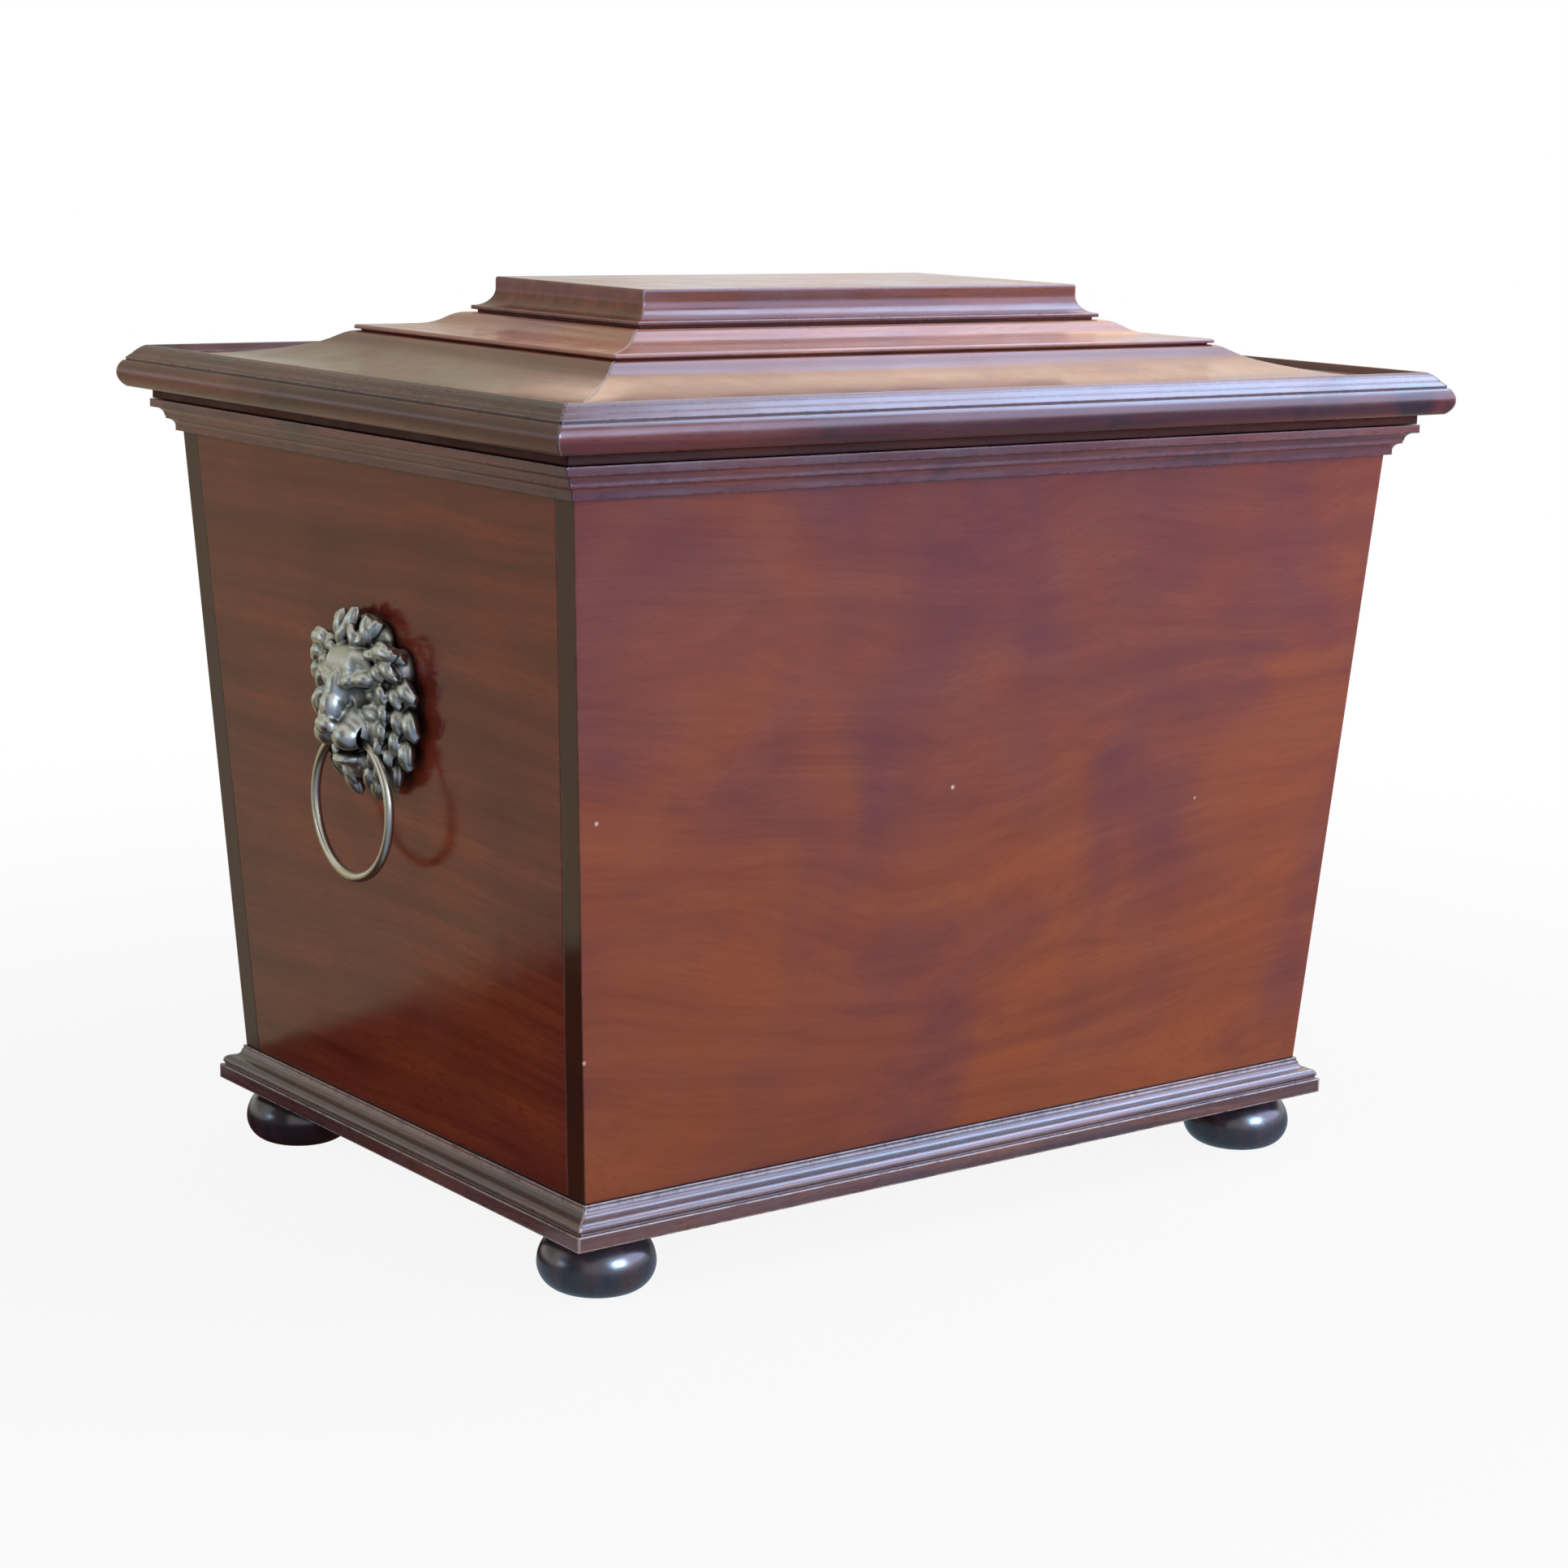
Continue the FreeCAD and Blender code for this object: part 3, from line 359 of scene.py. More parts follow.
    def bands(self, tree: Tree, along: Socket) -> tuple[Socket, Socket]:
        """Lay broad bands, fine lines and pores over each other.

        Returns:
            The wood's colour, and how much of a pore is at each place.
        """
        warped = self.wandering(tree, along)
        broad, fine, holes = (
            noise(tree, vectors(tree, "DIVIDE", warped, (length, width, width)), 1.0, detail)
            for length, width, detail in ((self.band_length, self.band, 3.0),
                                          (self.line_length, self.line, 2.0),
                                          (self.pore_length, self.pore, 0.0)))
        banded = ramp(tree, broad, [(0.30, linear(self.dark)), (0.48, linear(self.middle)),
                                    (0.68, linear(self.light))])
        lines = remap(tree, fine, 0.35, 0.65, 1 - 0.10 * self.streak, 1 + 0.08 * self.streak)
        lined = add(tree, "ShaderNodeMix", {"data_type": "RGBA", "blend_type": "MULTIPLY", 0: 1.0},
                    {6: banded, 7: lines}).outputs[2]
        pores = remap(tree, holes, 0.60, 0.72, 0.0, 0.5)
        return self.tinted(tree, along, blend(tree, pores, lined, self.dark)), pores

    def tinted(self, tree: Tree, along: Socket, colour: Socket) -> Socket:
        """Tint a colour in soft warm and cool patches, by a ramp at half strength, then doubled."""
        patches = maths(tree, "MULTIPLY", noise(tree, along, self.patch, 2.0, distortion=0.6), 0.5)
        tint = ramp(tree, patches, [(0.18, (*(c / 2 for c in self.cool), 1)),
                                    (0.31, (*(c / 2 for c in self.warm), 1))])
        return vectors(tree, "MULTIPLY", vectors(tree, "MULTIPLY", colour, tint), (2.0, 2.0, 2.0))

    def ended(self, tree: Tree, normal: Socket, colour: Socket) -> Socket:
        """Show dark end grain where a board's end faces along X."""
        across = add(tree, "ShaderNodeSeparateXYZ", links={0: normal}).outputs["X"]
        ends = remap(tree, maths(tree, "ABSOLUTE", across), 0.80, 0.97, 0.0, 0.85)
        return blend(tree, ends, colour, self.end_grain)

    def rubbed(self, tree: Tree, along: Socket, rounded: Socket, near: Socket) -> Socket:
        """Where an arris stands in the open and is rubbed bare, in patches, as wear and a painted highlight.

        Args:
            tree: the material's tree.
            along: the place in millimetres.
            rounded: the normal with the arrises rounded.
            near: how open each place is, 0 to 1.

        Returns:
            The share of bare wood and painted highlight.
        """
        facing = add(tree, "ShaderNodeNewGeometry").outputs["Normal"]
        turned = operate(tree, "ShaderNodeVectorMath", "DOT_PRODUCT", (rounded, facing)).outputs["Value"]
        edge = remap(tree, turned, 0.995, 0.93, 0.0, self.wear_and_highlight)
        where = Cloud(9.0, 4.0, 0.65, self.spared, self.spared + 0.2).share(tree, along)
        return maths(tree, "MULTIPLY", maths(tree, "MULTIPLY", edge, where),
                     remap(tree, near, 0.75, 0.95))

    def chipped(self, tree: Tree, along: Socket) -> Socket:
        """Where a few pale chips lie, each under a millimetre or two across."""
        cells = add(tree, "ShaderNodeTexVoronoi", {"Scale": 1 / self.chip_spacing},
                    {"Vector": along})
        pick = add(tree, "ShaderNodeSeparateXYZ", links={0: cells.outputs["Color"]}).outputs["X"]
        spot = remap(tree, cells.outputs["Distance"], 0.034, 0.018, 0.0, 0.9)
        return maths(tree, "MULTIPLY", maths(tree, "LESS_THAN", pick, self.chips), spot)


@dataclass(frozen=True)
class Brass:
    """Cast or drawn brass, patinated and then rubbed where hands reach.

    The eye sees pale yellow-grey metal on the high places, brown-black in the hollows, and a
    broken, satiny shine.
    """

    name: str
    bright: str
    middle: str
    dark: str
    roughness: float
    reach: float = 5.0  # how deep a hollow has to be to stay dark, mm
    cloud: float = 7.0  # size of the clouds in the patina
    grit: float = 1.2  # size of the casting's roughness
    relief: float = 0.25

    def build(self) -> Material:
        """Make the material."""
        material, tree = bare_material(self.name)
        place = add(tree, "ShaderNodeTexCoord")
        scaled = add(tree, "ShaderNodeMapping", {"Scale": (1 / MM,) * 3},
                     {"Vector": place.outputs["Object"]}).outputs[0]
        near = add(tree, "ShaderNodeAmbientOcclusion",
                   {"samples": 8, "Distance": self.reach * MM}).outputs["AO"]
        high = maths(tree, "MULTIPLY_ADD", noise(tree, scaled, self.cloud, 4.0), 0.14, near)
        colour = ramp(tree, high, [(0.40, linear(self.dark)), (0.74, linear(self.middle)),
                                   (1.0, linear(self.bright))])
        rough = remap(tree, high, 0.5, 1.1, self.roughness + 0.25, self.roughness)
        bump = add(tree, "ShaderNodeBump", {"Strength": self.relief, "Distance": 0.25 * MM},
                   {"Height": noise(tree, scaled, self.grit, 3.0)}).outputs[0]
        shader = add(tree, "ShaderNodeBsdfPrincipled", {"Metallic": 1.0},
                     {"Base Color": colour, "Roughness": rough, "Normal": bump})
        add(tree, "ShaderNodeOutputMaterial", links={"Surface": shader.outputs[0]})
        return material


# The lid's and step's pale blue-white arris colour is a painted highlight, and their bluish-black grime colour the
# painted shade under the fillets.
LID_POLISH_AND_PAINTED_LIGHT = {"wander": 8.0, "wear_and_highlight": 0.85, "spared": 0.26, "bare_and_highlight": "#dcd4e2", "painted_shade": 0.5,
              "grime_and_shade": "#14111c"}


class Finishes:
    """Every finish of the cellarette, each made once for each way of the grain."""

    def __init__(self) -> None:
        """Name the finishes by the record's slots, or by the nodes that have a finish of their own."""
        self.woods = {
            "mahogany_long_panel": Mahogany(
                "long_panel_mahogany", "#7d3f2e", "#85442e", "#8c4a30", wander=24.0, wander_along=250.0,
                wander_across=120.0, band=14.0, line=2.6, streak=0.6, ends_show=True, wear_and_highlight=0.5,
                chips=0.45, roughness=0.16, patch=120.0, cool=(0.84, 0.80, 1.26),
                warm=(1.22, 1.15, 0.56)),
            "mahogany_end_panel": Mahogany(
                "end_panel_mahogany", "#642a20", "#763529", "#85402e", wander=10.0, band=16.0,
                roughness=0.15, wear_and_highlight=0.4),
            "mahogany_lid": Mahogany("lid_mahogany", "#6a3228", "#7b3d31", "#8c4a38", **LID_POLISH_AND_PAINTED_LIGHT),
            # The step's finish is a lighter copy of the lid's mahogany: painted light, standing in for the bright
            # sky it reflects.
            "step": Mahogany("step_mahogany", "#aa7064", "#be8678", "#cd9788", **LID_POLISH_AND_PAINTED_LIGHT),
            # The pale arris colours of the mouldings, rim and base are painted highlights as well as wear; the
            # blue-grey tint on mouldings and base is a painted sheen.
            "mahogany_moulding": Mahogany(
                "moulding_mahogany", "#4f201b", "#692e26", "#804036", gloss=0.8, wear_and_highlight=0.4,
                bare_and_highlight="#a58d90", stain=0.6, painted_sheen=0.08),
            "rim": Mahogany(
                "rim_mahogany", "#471a14", "#61261d", "#7c3a2d", gloss=0.6, wear_and_highlight=0.5, spared=0.32,
                bare_and_highlight="#c9bcc6", stain=0.8),
            "mahogany_base": Mahogany(
                "base_mahogany", "#3c1e17", "#613528", "#835443", roughness=0.18, gloss=0.95,
                wear_and_highlight=1.0, spared=0.34, bare_and_highlight="#e6d2cc", painted_sheen=0.16, sheen_tint="#687f9f"),
            "mahogany_frame": Mahogany(
                "frame_mahogany", "#2e130d", "#4a2017", "#5c2c1e", roughness=0.45, gloss=0.12,
                wear_and_highlight=0.2),
            # The feet's blue-grey tint is a painted sheen of reflected sky.
            "mahogany_foot": Mahogany(
                "foot_mahogany", "#1a1214", "#2b1a1b", "#452622", wander=3.0, roughness=0.22,
                gloss=0.85, wear_and_highlight=0.3, painted_shade=0.4, painted_sheen=0.16, sheen_tint="#55688f"),
            "mahogany_inside": Mahogany(
                "inside_mahogany", "#5a2f1e", "#80492f", "#a06a48", wander=20.0, band=16.0,
                roughness=0.5, wear_and_highlight=0.3),
            "mahogany_divider": Mahogany(
                "divider_mahogany", "#63361f", "#8a5535", "#a97852", wander=16.0, band=14.0,
                roughness=0.5, wear_and_highlight=0.4),
        }
        self.metals = {
            "antique_brass": Brass("antiqued_cast_brass", "#b8b8ae", "#6c695f", "#2c2a27", 0.35,
                                   reach=6.0, grit=1.6, relief=0.5),
            "worn_brass": Brass("rubbed_brass_wire", "#c0b9a8", "#98917f", "#3a3730", 0.30, relief=0.1),
            "hinge_brass": Brass("milled_brass", "#bfa467", "#8f7646", "#40331d", 0.32, relief=0.1),
            "brass_screw": Brass("turned_brass", "#b89d62", "#8a7143", "#3a2f1b", 0.34, relief=0.1),
            "steel_fixing": Brass("zinc_plated_steel", "#c9ccd0", "#95989c", "#3d3e40", 0.32,
                                  relief=0.1),
        }
        self.made: dict[str, Material] = {}

    def of(self, slot: str, grain: Grain = Grain.ALONG_X) -> Material:
        """The material of a slot, for a way of the grain where it is wood."""
        wooden = slot in self.woods
        key = f"{slot}_{grain.name}" if wooden else slot
        if key not in self.made:
            self.made[key] = self.woods[slot].build(grain) if wooden else self.metals[slot].build()
        return self.made[key]


# -------- woodwork
@dataclass
class Woodwork:
    """Boards and mouldings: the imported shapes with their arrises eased, as a scraper leaves them."""

    finishes: Finishes
    arris: float = 0.45  # width of an eased edge, mm
    mitre_share: float = 0.3  # how much of that a mitre's edge gets
    merge: float = 0.002  # points nearer than this are one, mm
    flat: float = math.radians(0.4)
    sharp: float = math.radians(24)
    square: float = 0.03  # how far a mitre's face may be from upright and from 45 degrees
    own: tuple[tuple[str, str], ...] = (("lid_rim", "rim"), ("lid_step", "step"))  # nodes, finish

    def ways(self, node: str) -> Grain:
        """The way the grain runs in a node, from its name."""
        if node.startswith("bun_foot"):
            return Grain.ALONG_Z
        if node.endswith(("_left", "_right", "side_panel")) or node.startswith("divider_cross"):
            return Grain.ALONG_Y
        return Grain.ALONG_X

    def copy(self, node: str) -> Piece:
        """A node's mesh as a new piece, with its loose triangles merged into whole faces."""
        piece = new_object(f"finished_{node}", frame["nodes"][node].data.copy())
        only(piece)
        bpy.ops.mesh.customdata_custom_splitnormals_clear()
        edit(piece)
        bpy.ops.mesh.remove_doubles(threshold=self.merge * MM)
        bpy.ops.mesh.dissolve_limited(angle_limit=self.flat)
        bpy.ops.object.mode_set(mode="OBJECT")
        return piece

    def weigh(self, piece: Piece) -> None:
        """Mark how far each sharp edge is eased."""
        shape = bmesh.new()
        shape.from_mesh(piece.data)
        weight = shape.edges.layers.float.new("bevel_weight_edge")
        for edge in shape.edges:
            if len(edge.link_faces) == 2 and edge.calc_face_angle() > self.sharp:
                mitred = any(abs(abs(face.normal.x) - abs(face.normal.y)) < self.square
                             and abs(face.normal.z) < self.square for face in edge.link_faces)
                edge[weight] = self.mitre_share if mitred else 1.0
        shape.to_mesh(piece.data)
        shape.free()

    def finish(self, node: str, body: str, slot: str) -> Piece:
        """Ease, smooth and dress a node's copy, which then stands for the node.

        Args:
            node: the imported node.
            body: the body that it rides on.
            slot: the record's material slot.

        Returns:
            The finished piece.
        """
        piece = self.copy(node)
        bpy.ops.object.shade_smooth_by_angle(angle=self.sharp)
        if not node.startswith("bun_foot"):
            self.weigh(piece)
            modify(piece, "BEVEL", width=self.arris * MM, segments=2, limit_method="WEIGHT",
                   harden_normals=True, profile=0.6)
        finish = next((name for start, name in self.own if node.startswith(start)), slot)
        dress(piece, self.finishes.of(finish, self.ways(node)))
        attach(piece, body)
        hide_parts(node)
        return piece


# -------- lion masks
def hands(paired: bool) -> tuple[int, ...]:
    """The sides of the face that something is made on."""
    return (1, -1) if paired else (1,)


@dataclass(frozen=True)
class Form:
    """An ellipsoid of the casting, in millimetres: its centre across, up and out, and its radii."""

    across: float
    up: float
    out: float
    width: float
    height: float
    depth: float
    tilt: float = 0.0  # degrees, the outer end up
    paired: bool = False  # made on both sides of the face


@dataclass(frozen=True)
class Curl:
    """A lock of the mane, which runs out from its root in a wave and flicks at its tip."""

    across: float
    up: float
    out: float
    heading: float  # degrees from the way out across the face, up is positive
    wave: float  # degrees to each side of the heading, up first is positive
    length: float
    girth: float
    paired: bool = True
    steps: int = 8
    turns: float = 1.7 * math.pi  # how much of a wave fits in the lock
    slimmest: float = 0.34  # of the girth, at root and tip
    swelling: float = 0.66  # and what is added where it is fullest
    rise: float = 0.16  # how steeply it lifts from its root, and dips to its tip

    def path(self) -> list[tuple[Vector, Vector, float]]:
        """Follow the curl: each place, the way sideways there, and the share of the girth."""
        place = Vector((self.across, self.up, self.out))
        found = []
        for step in range(self.steps + 1):
            share = step / self.steps
            angle = math.radians(self.heading + self.wave * math.cos(self.turns * share))
            fullness = math.sin(math.pi * (0.22 + 0.72 * share)) ** 0.7
            swell = self.slimmest + self.swelling * fullness
            found.append((place.copy(), Vector((-math.sin(angle), math.cos(angle), 0)), swell))
            ahead = Vector((math.cos(angle), math.sin(angle), 0)) * self.length / self.steps
            lift = self.rise * self.girth * math.cos(math.pi * share)
            place = place + ahead + Vector((0, 0, lift))
        return found


@dataclass(frozen=True)
class Row:
    """A row of locks round the face, from the crown down both sides to the chin."""

    width: float  # of the ring of roots, from the middle
    height: float
    out: float
    locks: int  # on each side
    length: float
    girth: float
    wave: float
    droop: float  # how far the locks at the sides hang, degrees
    drop: float  # how far the ring of roots lies below the face's middle
    reach: float = 86.0  # how far the row goes up and down from the way out, degrees
    odd_out: float = 0.8  # how unlike each other the locks are: in height, mm
    odd_heading: float = 7.0  # in heading, degrees
    odd_wave: float = 0.25  # in wave, as a share
    odd_size: float = 0.08  # in length and girth, as a share

    def curls(self) -> list[Curl]:
        """The row's locks, each a little unlike the next."""
        found = []
        for index in range(self.locks):
            around = self.reach - 2 * self.reach * (index + 0.5) / self.locks
            angle = math.radians(around)
            stray = math.sin(12.99 * index + 7.7 * self.width)
            heading = around - self.droop * math.cos(angle) + self.odd_heading * stray
            size = 1 + self.odd_size * stray
            found.append(Curl(self.width * math.cos(angle),
                              self.height * math.sin(angle) - self.drop,
                              self.out + self.odd_out * stray, heading,
                              self.wave * (1 + self.odd_wave * stray),
                              self.length * size, self.girth * size))
        return found


@dataclass
class LionMask:
    """A cast lion's head with a mane of three rows of tufts, hollowed for the ring in its mouth.

    The masses of the face run together first. The sockets are carved into them, the details and
    the mane laid on, and the mouth and the ring's way cut last. Lengths are millimetres, from a
    point on the board's face behind the bridge of the nose.
    """

    voxel: float = 0.62  # the grain of the casting
    carving_voxel: float = 0.4  # and of the shapes that cut into it
    blending: int = 14  # rounds of smoothing that run the face's masses together
    softening: int = 2  # and that soften the details and the mane
    crumb: float = 0.03  # what the cuts leave behind that is smaller than this goes
    gap: float = 0.02  # between the casting's flat back and the board
    core: float = 0.78  # girth of a tuft's core, as a share of the tuft's
    strand: float = 0.25  # and of each strand on it
    strands: tuple[Pair, ...] = (  # how far aside and how proud, in girths
        (-0.72, 0.10), (-0.38, 0.44), (0.0, 0.58), (0.38, 0.44), (0.72, 0.10))
    ring_radius: float = 36.0
    wire_radius: float = 2.4
    ring_out: float = 15.0
    ring_drop: float = 16.0
    ring_room: float = 0.4
    passage: float = 17.0  # half the length of the ring's way through the mouth
    passage_steps: int = 12
    stud_radius: float = 2.0
    stud_spacing: float = 48.0
    stud_length: float = 22.2  # behind the board's face
    stud_root: float = 2.0  # inside the casting
    board: float = 15.0  # thickness of the side board
    forms: tuple[Form, ...] = (
        Form(0, -2, -3, 41, 37.5, 11),  # the mane's bed
        Form(1, 31, 0, 17, 11, 6.5),  # and its round crest
        Form(0, 3, 6, 28, 33, 11),  # skull
        Form(0, 17, 11.5, 21, 12.5, 10),  # forehead
        Form(7, 17, 12.5, 10, 11.5, 9.4, 8, True),  # the forehead's two swells
        Form(8.6, 12.0, 18.6, 7.0, 4.4, 5.6, 16, True),  # brows, by the nose
        Form(16.4, 13.6, 15.0, 8.4, 4.6, 6.2, 4, True),  # brows, outwards
        Form(24.5, 8, 7.0, 7.0, 13, 7.5, 0, True),  # temples
        Form(0, 7, 19.6, 6.2, 11, 8.0),  # bridge of the nose
        Form(0, -1, 24.6, 6.2, 9, 6.8),
        Form(0, -8.8, 29.2, 7.4, 4.4, 4.6),  # nose
        Form(8.4, -14.4, 21.2, 8.8, 7.6, 9.0, -14, True),  # the muzzle's lobes
        Form(0, -12, 14.5, 19, 12, 11),  # root of the muzzle
        Form(20, -12, 7.6, 10, 14.5, 9, 0, True),  # cheeks
        Form(18.0, -3.8, 11.4, 9.4, 4.4, 5.8, -12, True),  # cheekbones
        Form(0, -27.6, 16, 9.6, 4.2, 8.6),  # lower lip
        Form(0, -32, 9.6, 9, 7.4, 8),  # chin
        Form(32, 18, 2.5, 8.5, 11, 8.0, 0, True),  # the ruff under the locks
        Form(33, 4, 2.5, 8.5, 11, 8.0, 0, True),
        Form(32, -10, 2.5, 8.5, 11, 8.0, 0, True),
        Form(25, -23, 2.5, 10, 9, 8.0, 0, True),
        Form(11, -31, 2.5, 10, 7.5, 6, 0, True),
        Form(12, 31, 2.5, 12, 9, 6.5, 0, True),
        Form(27, 5, 4.5, 7, 21, 7, 4, True),
        Form(26, 22, 4.5, 9, 7, 7, 0, True),
    )
    sockets: tuple[Form, ...] = (
        Form(15.0, 5.4, 17.8, 8.8, 5.0, 9.0, 6, True),  # round the eyes
        Form(10.0, 3.4, 17.6, 3.6, 5.6, 7.0, 20, True),  # beside the bridge of the nose
    )
    details: tuple[Form, ...] = (
        Form(16.4, 5.0, 10.2, 5.0, 3.6, 4.4, 0, True),  # eyes
        Form(16.4, 8.0, 11.4, 6.8, 1.5, 3.4, 8, True),  # upper lids
        Form(5.0, -10.8, 28.4, 3.2, 2.6, 3.4, 0, True),  # wings of the nostrils
        Form(0, -28.0, 23.0, 6.0, 1.3, 2.0),  # the lip's edge
    )
    hollows: tuple[Form, ...] = (
        Form(0, -22.8, 23, 10.5, 2.3, 12),  # the open mouth
        Form(0, -17.4, 31.0, 0.9, 4.4, 3.4),  # the cleft of the lip
        Form(4.6, -12.0, 32.0, 1.7, 1.2, 2.2, 20, True),  # nostrils
    )
    rows: tuple[Row, ...] = (
        Row(38.0, 32.5, 5.2, 7, 16.5, 6.2, 34, 40, 2.5),
        Row(31.5, 29.5, 9.0, 9, 14.0, 4.4, 42, 46, 1.5),
        Row(26.0, 26.0, 12.0, 9, 11.5, 3.3, 48, 50, 0.0),
    )
    curls: tuple[Curl, ...] = (
        Curl(25, 21, 9, 38, 56, 20, 5.6),  # the tufts that hide the ears
        Curl(28, 17, 10, 10, 60, 16, 4.6),
        Curl(0, 29, 7, 92, 26, 18, 5.8, False),  # the dome of the crown
        Curl(-8, 28, 7, 112, 30, 17, 5.6, False),
        Curl(8, 28, 7, 68, -30, 17, 5.6, False),
        Curl(3, 26, 11.5, 84, -44, 15, 4.0, False),
        Curl(-4, 26, 11.5, 100, 44, 14, 4.0, False),
    )

    def ellipsoid(self, form: Form, hand: int) -> Piece:
        """Add one of the casting's forms, in metres, lying across X, up Y and out Z."""
        bpy.ops.mesh.primitive_uv_sphere_add(segments=40, ring_count=20, radius=MM)
        ball = bpy.context.object
        ball.scale = (form.width, form.height, form.depth)
        ball.rotation_euler = (0, 0, math.radians(form.tilt) * hand)
        ball.location = (hand * form.across * MM, form.up * MM, form.out * MM)
        bpy.ops.object.transform_apply()
        return ball

    def ellipsoids(self, forms: tuple[Form, ...]) -> list[Piece]:
        """Add several forms, on both sides of the face where they are paired."""
        return [self.ellipsoid(form, hand) for form in forms for hand in hands(form.paired)]

    def mane(self) -> Piece:
        """Sweep every curl as a core with strands that draw together at its tip."""
        bpy.ops.curve.primitive_nurbs_path_add()
        curve = bpy.context.object.data
        curve.splines.clear()
        curve.dimensions = "3D"
        curve.bevel_depth = MM
        curve.bevel_resolution = 3
        curve.resolution_u = 4
        curve.use_fill_caps = True
        locks = [curl for row in self.rows for curl in row.curls()] + list(self.curls)
        for curl in locks:
            for hand in hands(curl.paired):
                self.sweep(curve, curl, hand, 0.0, 0.0, self.core)
                for aside, proud in self.strands:
                    self.sweep(curve, curl, hand, aside, proud, self.strand)
        bpy.ops.object.convert(target="MESH")
        return bpy.context.object

    def sweep(self, curve: bpy.types.Curve, curl: Curl, hand: int, aside: float, proud: float,
              girth: float) -> None:
        """Add the core or one strand of a curl.

        Args:
            curve: the curve that takes the strand's spline.
            curl: the curl.
            hand: 1, or -1 for the other side of the face.
            aside: how far it lies beside the curl's middle, in girths.
            proud: how far it stands proud of it.
            girth: its own girth, as a share of the curl's.
        """
        path = curl.path()
        spline = curve.splines.new("NURBS")
        spline.points.add(len(path) - 1)
        for point, (place, beside, swell) in zip(spline.points, path):
            spread = swell * curl.girth
            shifted = place + beside * aside * spread + Vector((0, 0, proud * spread))
            point.co = (hand * shifted.x * MM, shifted.y * MM, shifted.z * MM, 1)
            point.radius = spread * girth
        spline.order_u = 3
        spline.use_endpoint_u = True

    def ring_way(self) -> Piece:
        """The room that the ring sweeps in the mouth, round its pivot and flared to both sides."""
        inner = self.ring_radius - self.wire_radius - self.ring_room
        bpy.ops.mesh.primitive_cylinder_add(vertices=48, radius=MM, depth=2 * self.passage * MM)
        tool = bpy.context.object
        edit(tool)
        for step in range(1, self.passage_steps):
            level = (2 * step / self.passage_steps - 1) * self.passage * MM
            bpy.ops.mesh.select_all(action="SELECT")
            bpy.ops.mesh.bisect(plane_co=(0, 0, level), plane_no=(0, 0, 1))
        shape = bmesh.from_edit_mesh(tool.data)
        for point in shape.verts:
            reach = self.ring_radius - math.sqrt(inner ** 2 - (point.co.z / MM) ** 2)
            point.co.xy = point.co.xy * reach
        bmesh.update_edit_mesh(tool.data)
        bpy.ops.object.mode_set(mode="OBJECT")
        tool.rotation_euler = (0, math.pi / 2, 0)
        tool.location = (0, -self.ring_drop * MM, self.ring_out * MM)
        bpy.ops.object.transform_apply()
        return tool

    def studs(self) -> Piece:
        """Two fixing studs that run back through the board, with a chamfer at each end."""
        made = []
        for hand in (1, -1):
            bpy.ops.mesh.primitive_cylinder_add(
                vertices=32, radius=self.stud_radius * MM,
                depth=(self.stud_length + self.stud_root) * MM,
                location=(0, hand * self.stud_spacing / 2 * MM,
                          (self.stud_root - self.stud_length) / 2 * MM))
            made.append(bpy.context.object)
        studs = joined(made, "studs")
        modify(studs, "BEVEL", width=0.5 * MM, segments=1, limit_method="ANGLE")
        return studs

    def cast(self) -> Piece:
        """Model the head once, lying across X, up Y and out Z from the panel's face."""
        face = joined(self.ellipsoids(self.forms), "lion_face")
        modify(face, "REMESH", mode="VOXEL", voxel_size=self.voxel * MM)
        modify(face, "SMOOTH", factor=0.5, iterations=self.blending)
        self.carve(face, self.ellipsoids(self.sockets))
        details = self.ellipsoids(self.details)
        head = joined([face, self.mane()] + details, "lion_head")
        modify(head, "REMESH", mode="VOXEL", voxel_size=self.voxel * MM)
        modify(head, "SMOOTH", factor=0.5, iterations=self.softening)
        self.carve(head, self.ellipsoids(self.hollows) + [self.ring_way()])
        edit(head)
        bpy.ops.mesh.bisect(plane_co=(0, 0, self.gap * MM), plane_no=(0, 0, 1), use_fill=True,
                            clear_inner=True)
        self.trim(head)
        bpy.ops.object.mode_set(mode="OBJECT")
        bpy.ops.object.shade_smooth()
        return joined([head, self.studs()], "lion_mask")

    def carve(self, head: Piece, parts: list[Piece]) -> None:
        """Cut several shapes out of the casting as one."""
        cutter = joined(parts, "lion_cutter")
        modify(cutter, "REMESH", mode="VOXEL", voxel_size=self.carving_voxel * MM)
        modify(head, "BOOLEAN", operation="DIFFERENCE", object=cutter, solver="EXACT")
        bpy.data.objects.remove(cutter)

    def trim(self, head: Piece) -> None:
        """Clear away the crumbs that the cuts leave, and corners in the middle of an edge."""
        bpy.ops.mesh.select_all(action="SELECT")
        bpy.ops.mesh.remove_doubles(threshold=self.crumb * MM)
        bpy.ops.mesh.dissolve_degenerate(threshold=self.crumb * MM)
        shape = bmesh.from_edit_mesh(head.data)
        spare = [corner for corner in shape.verts if len(corner.link_edges) == 2]
        bmesh.ops.dissolve_verts(shape, verts=spare)
        bmesh.update_edit_mesh(head.data)
        bpy.ops.mesh.select_all(action="SELECT")
        bpy.ops.mesh.delete_loose()

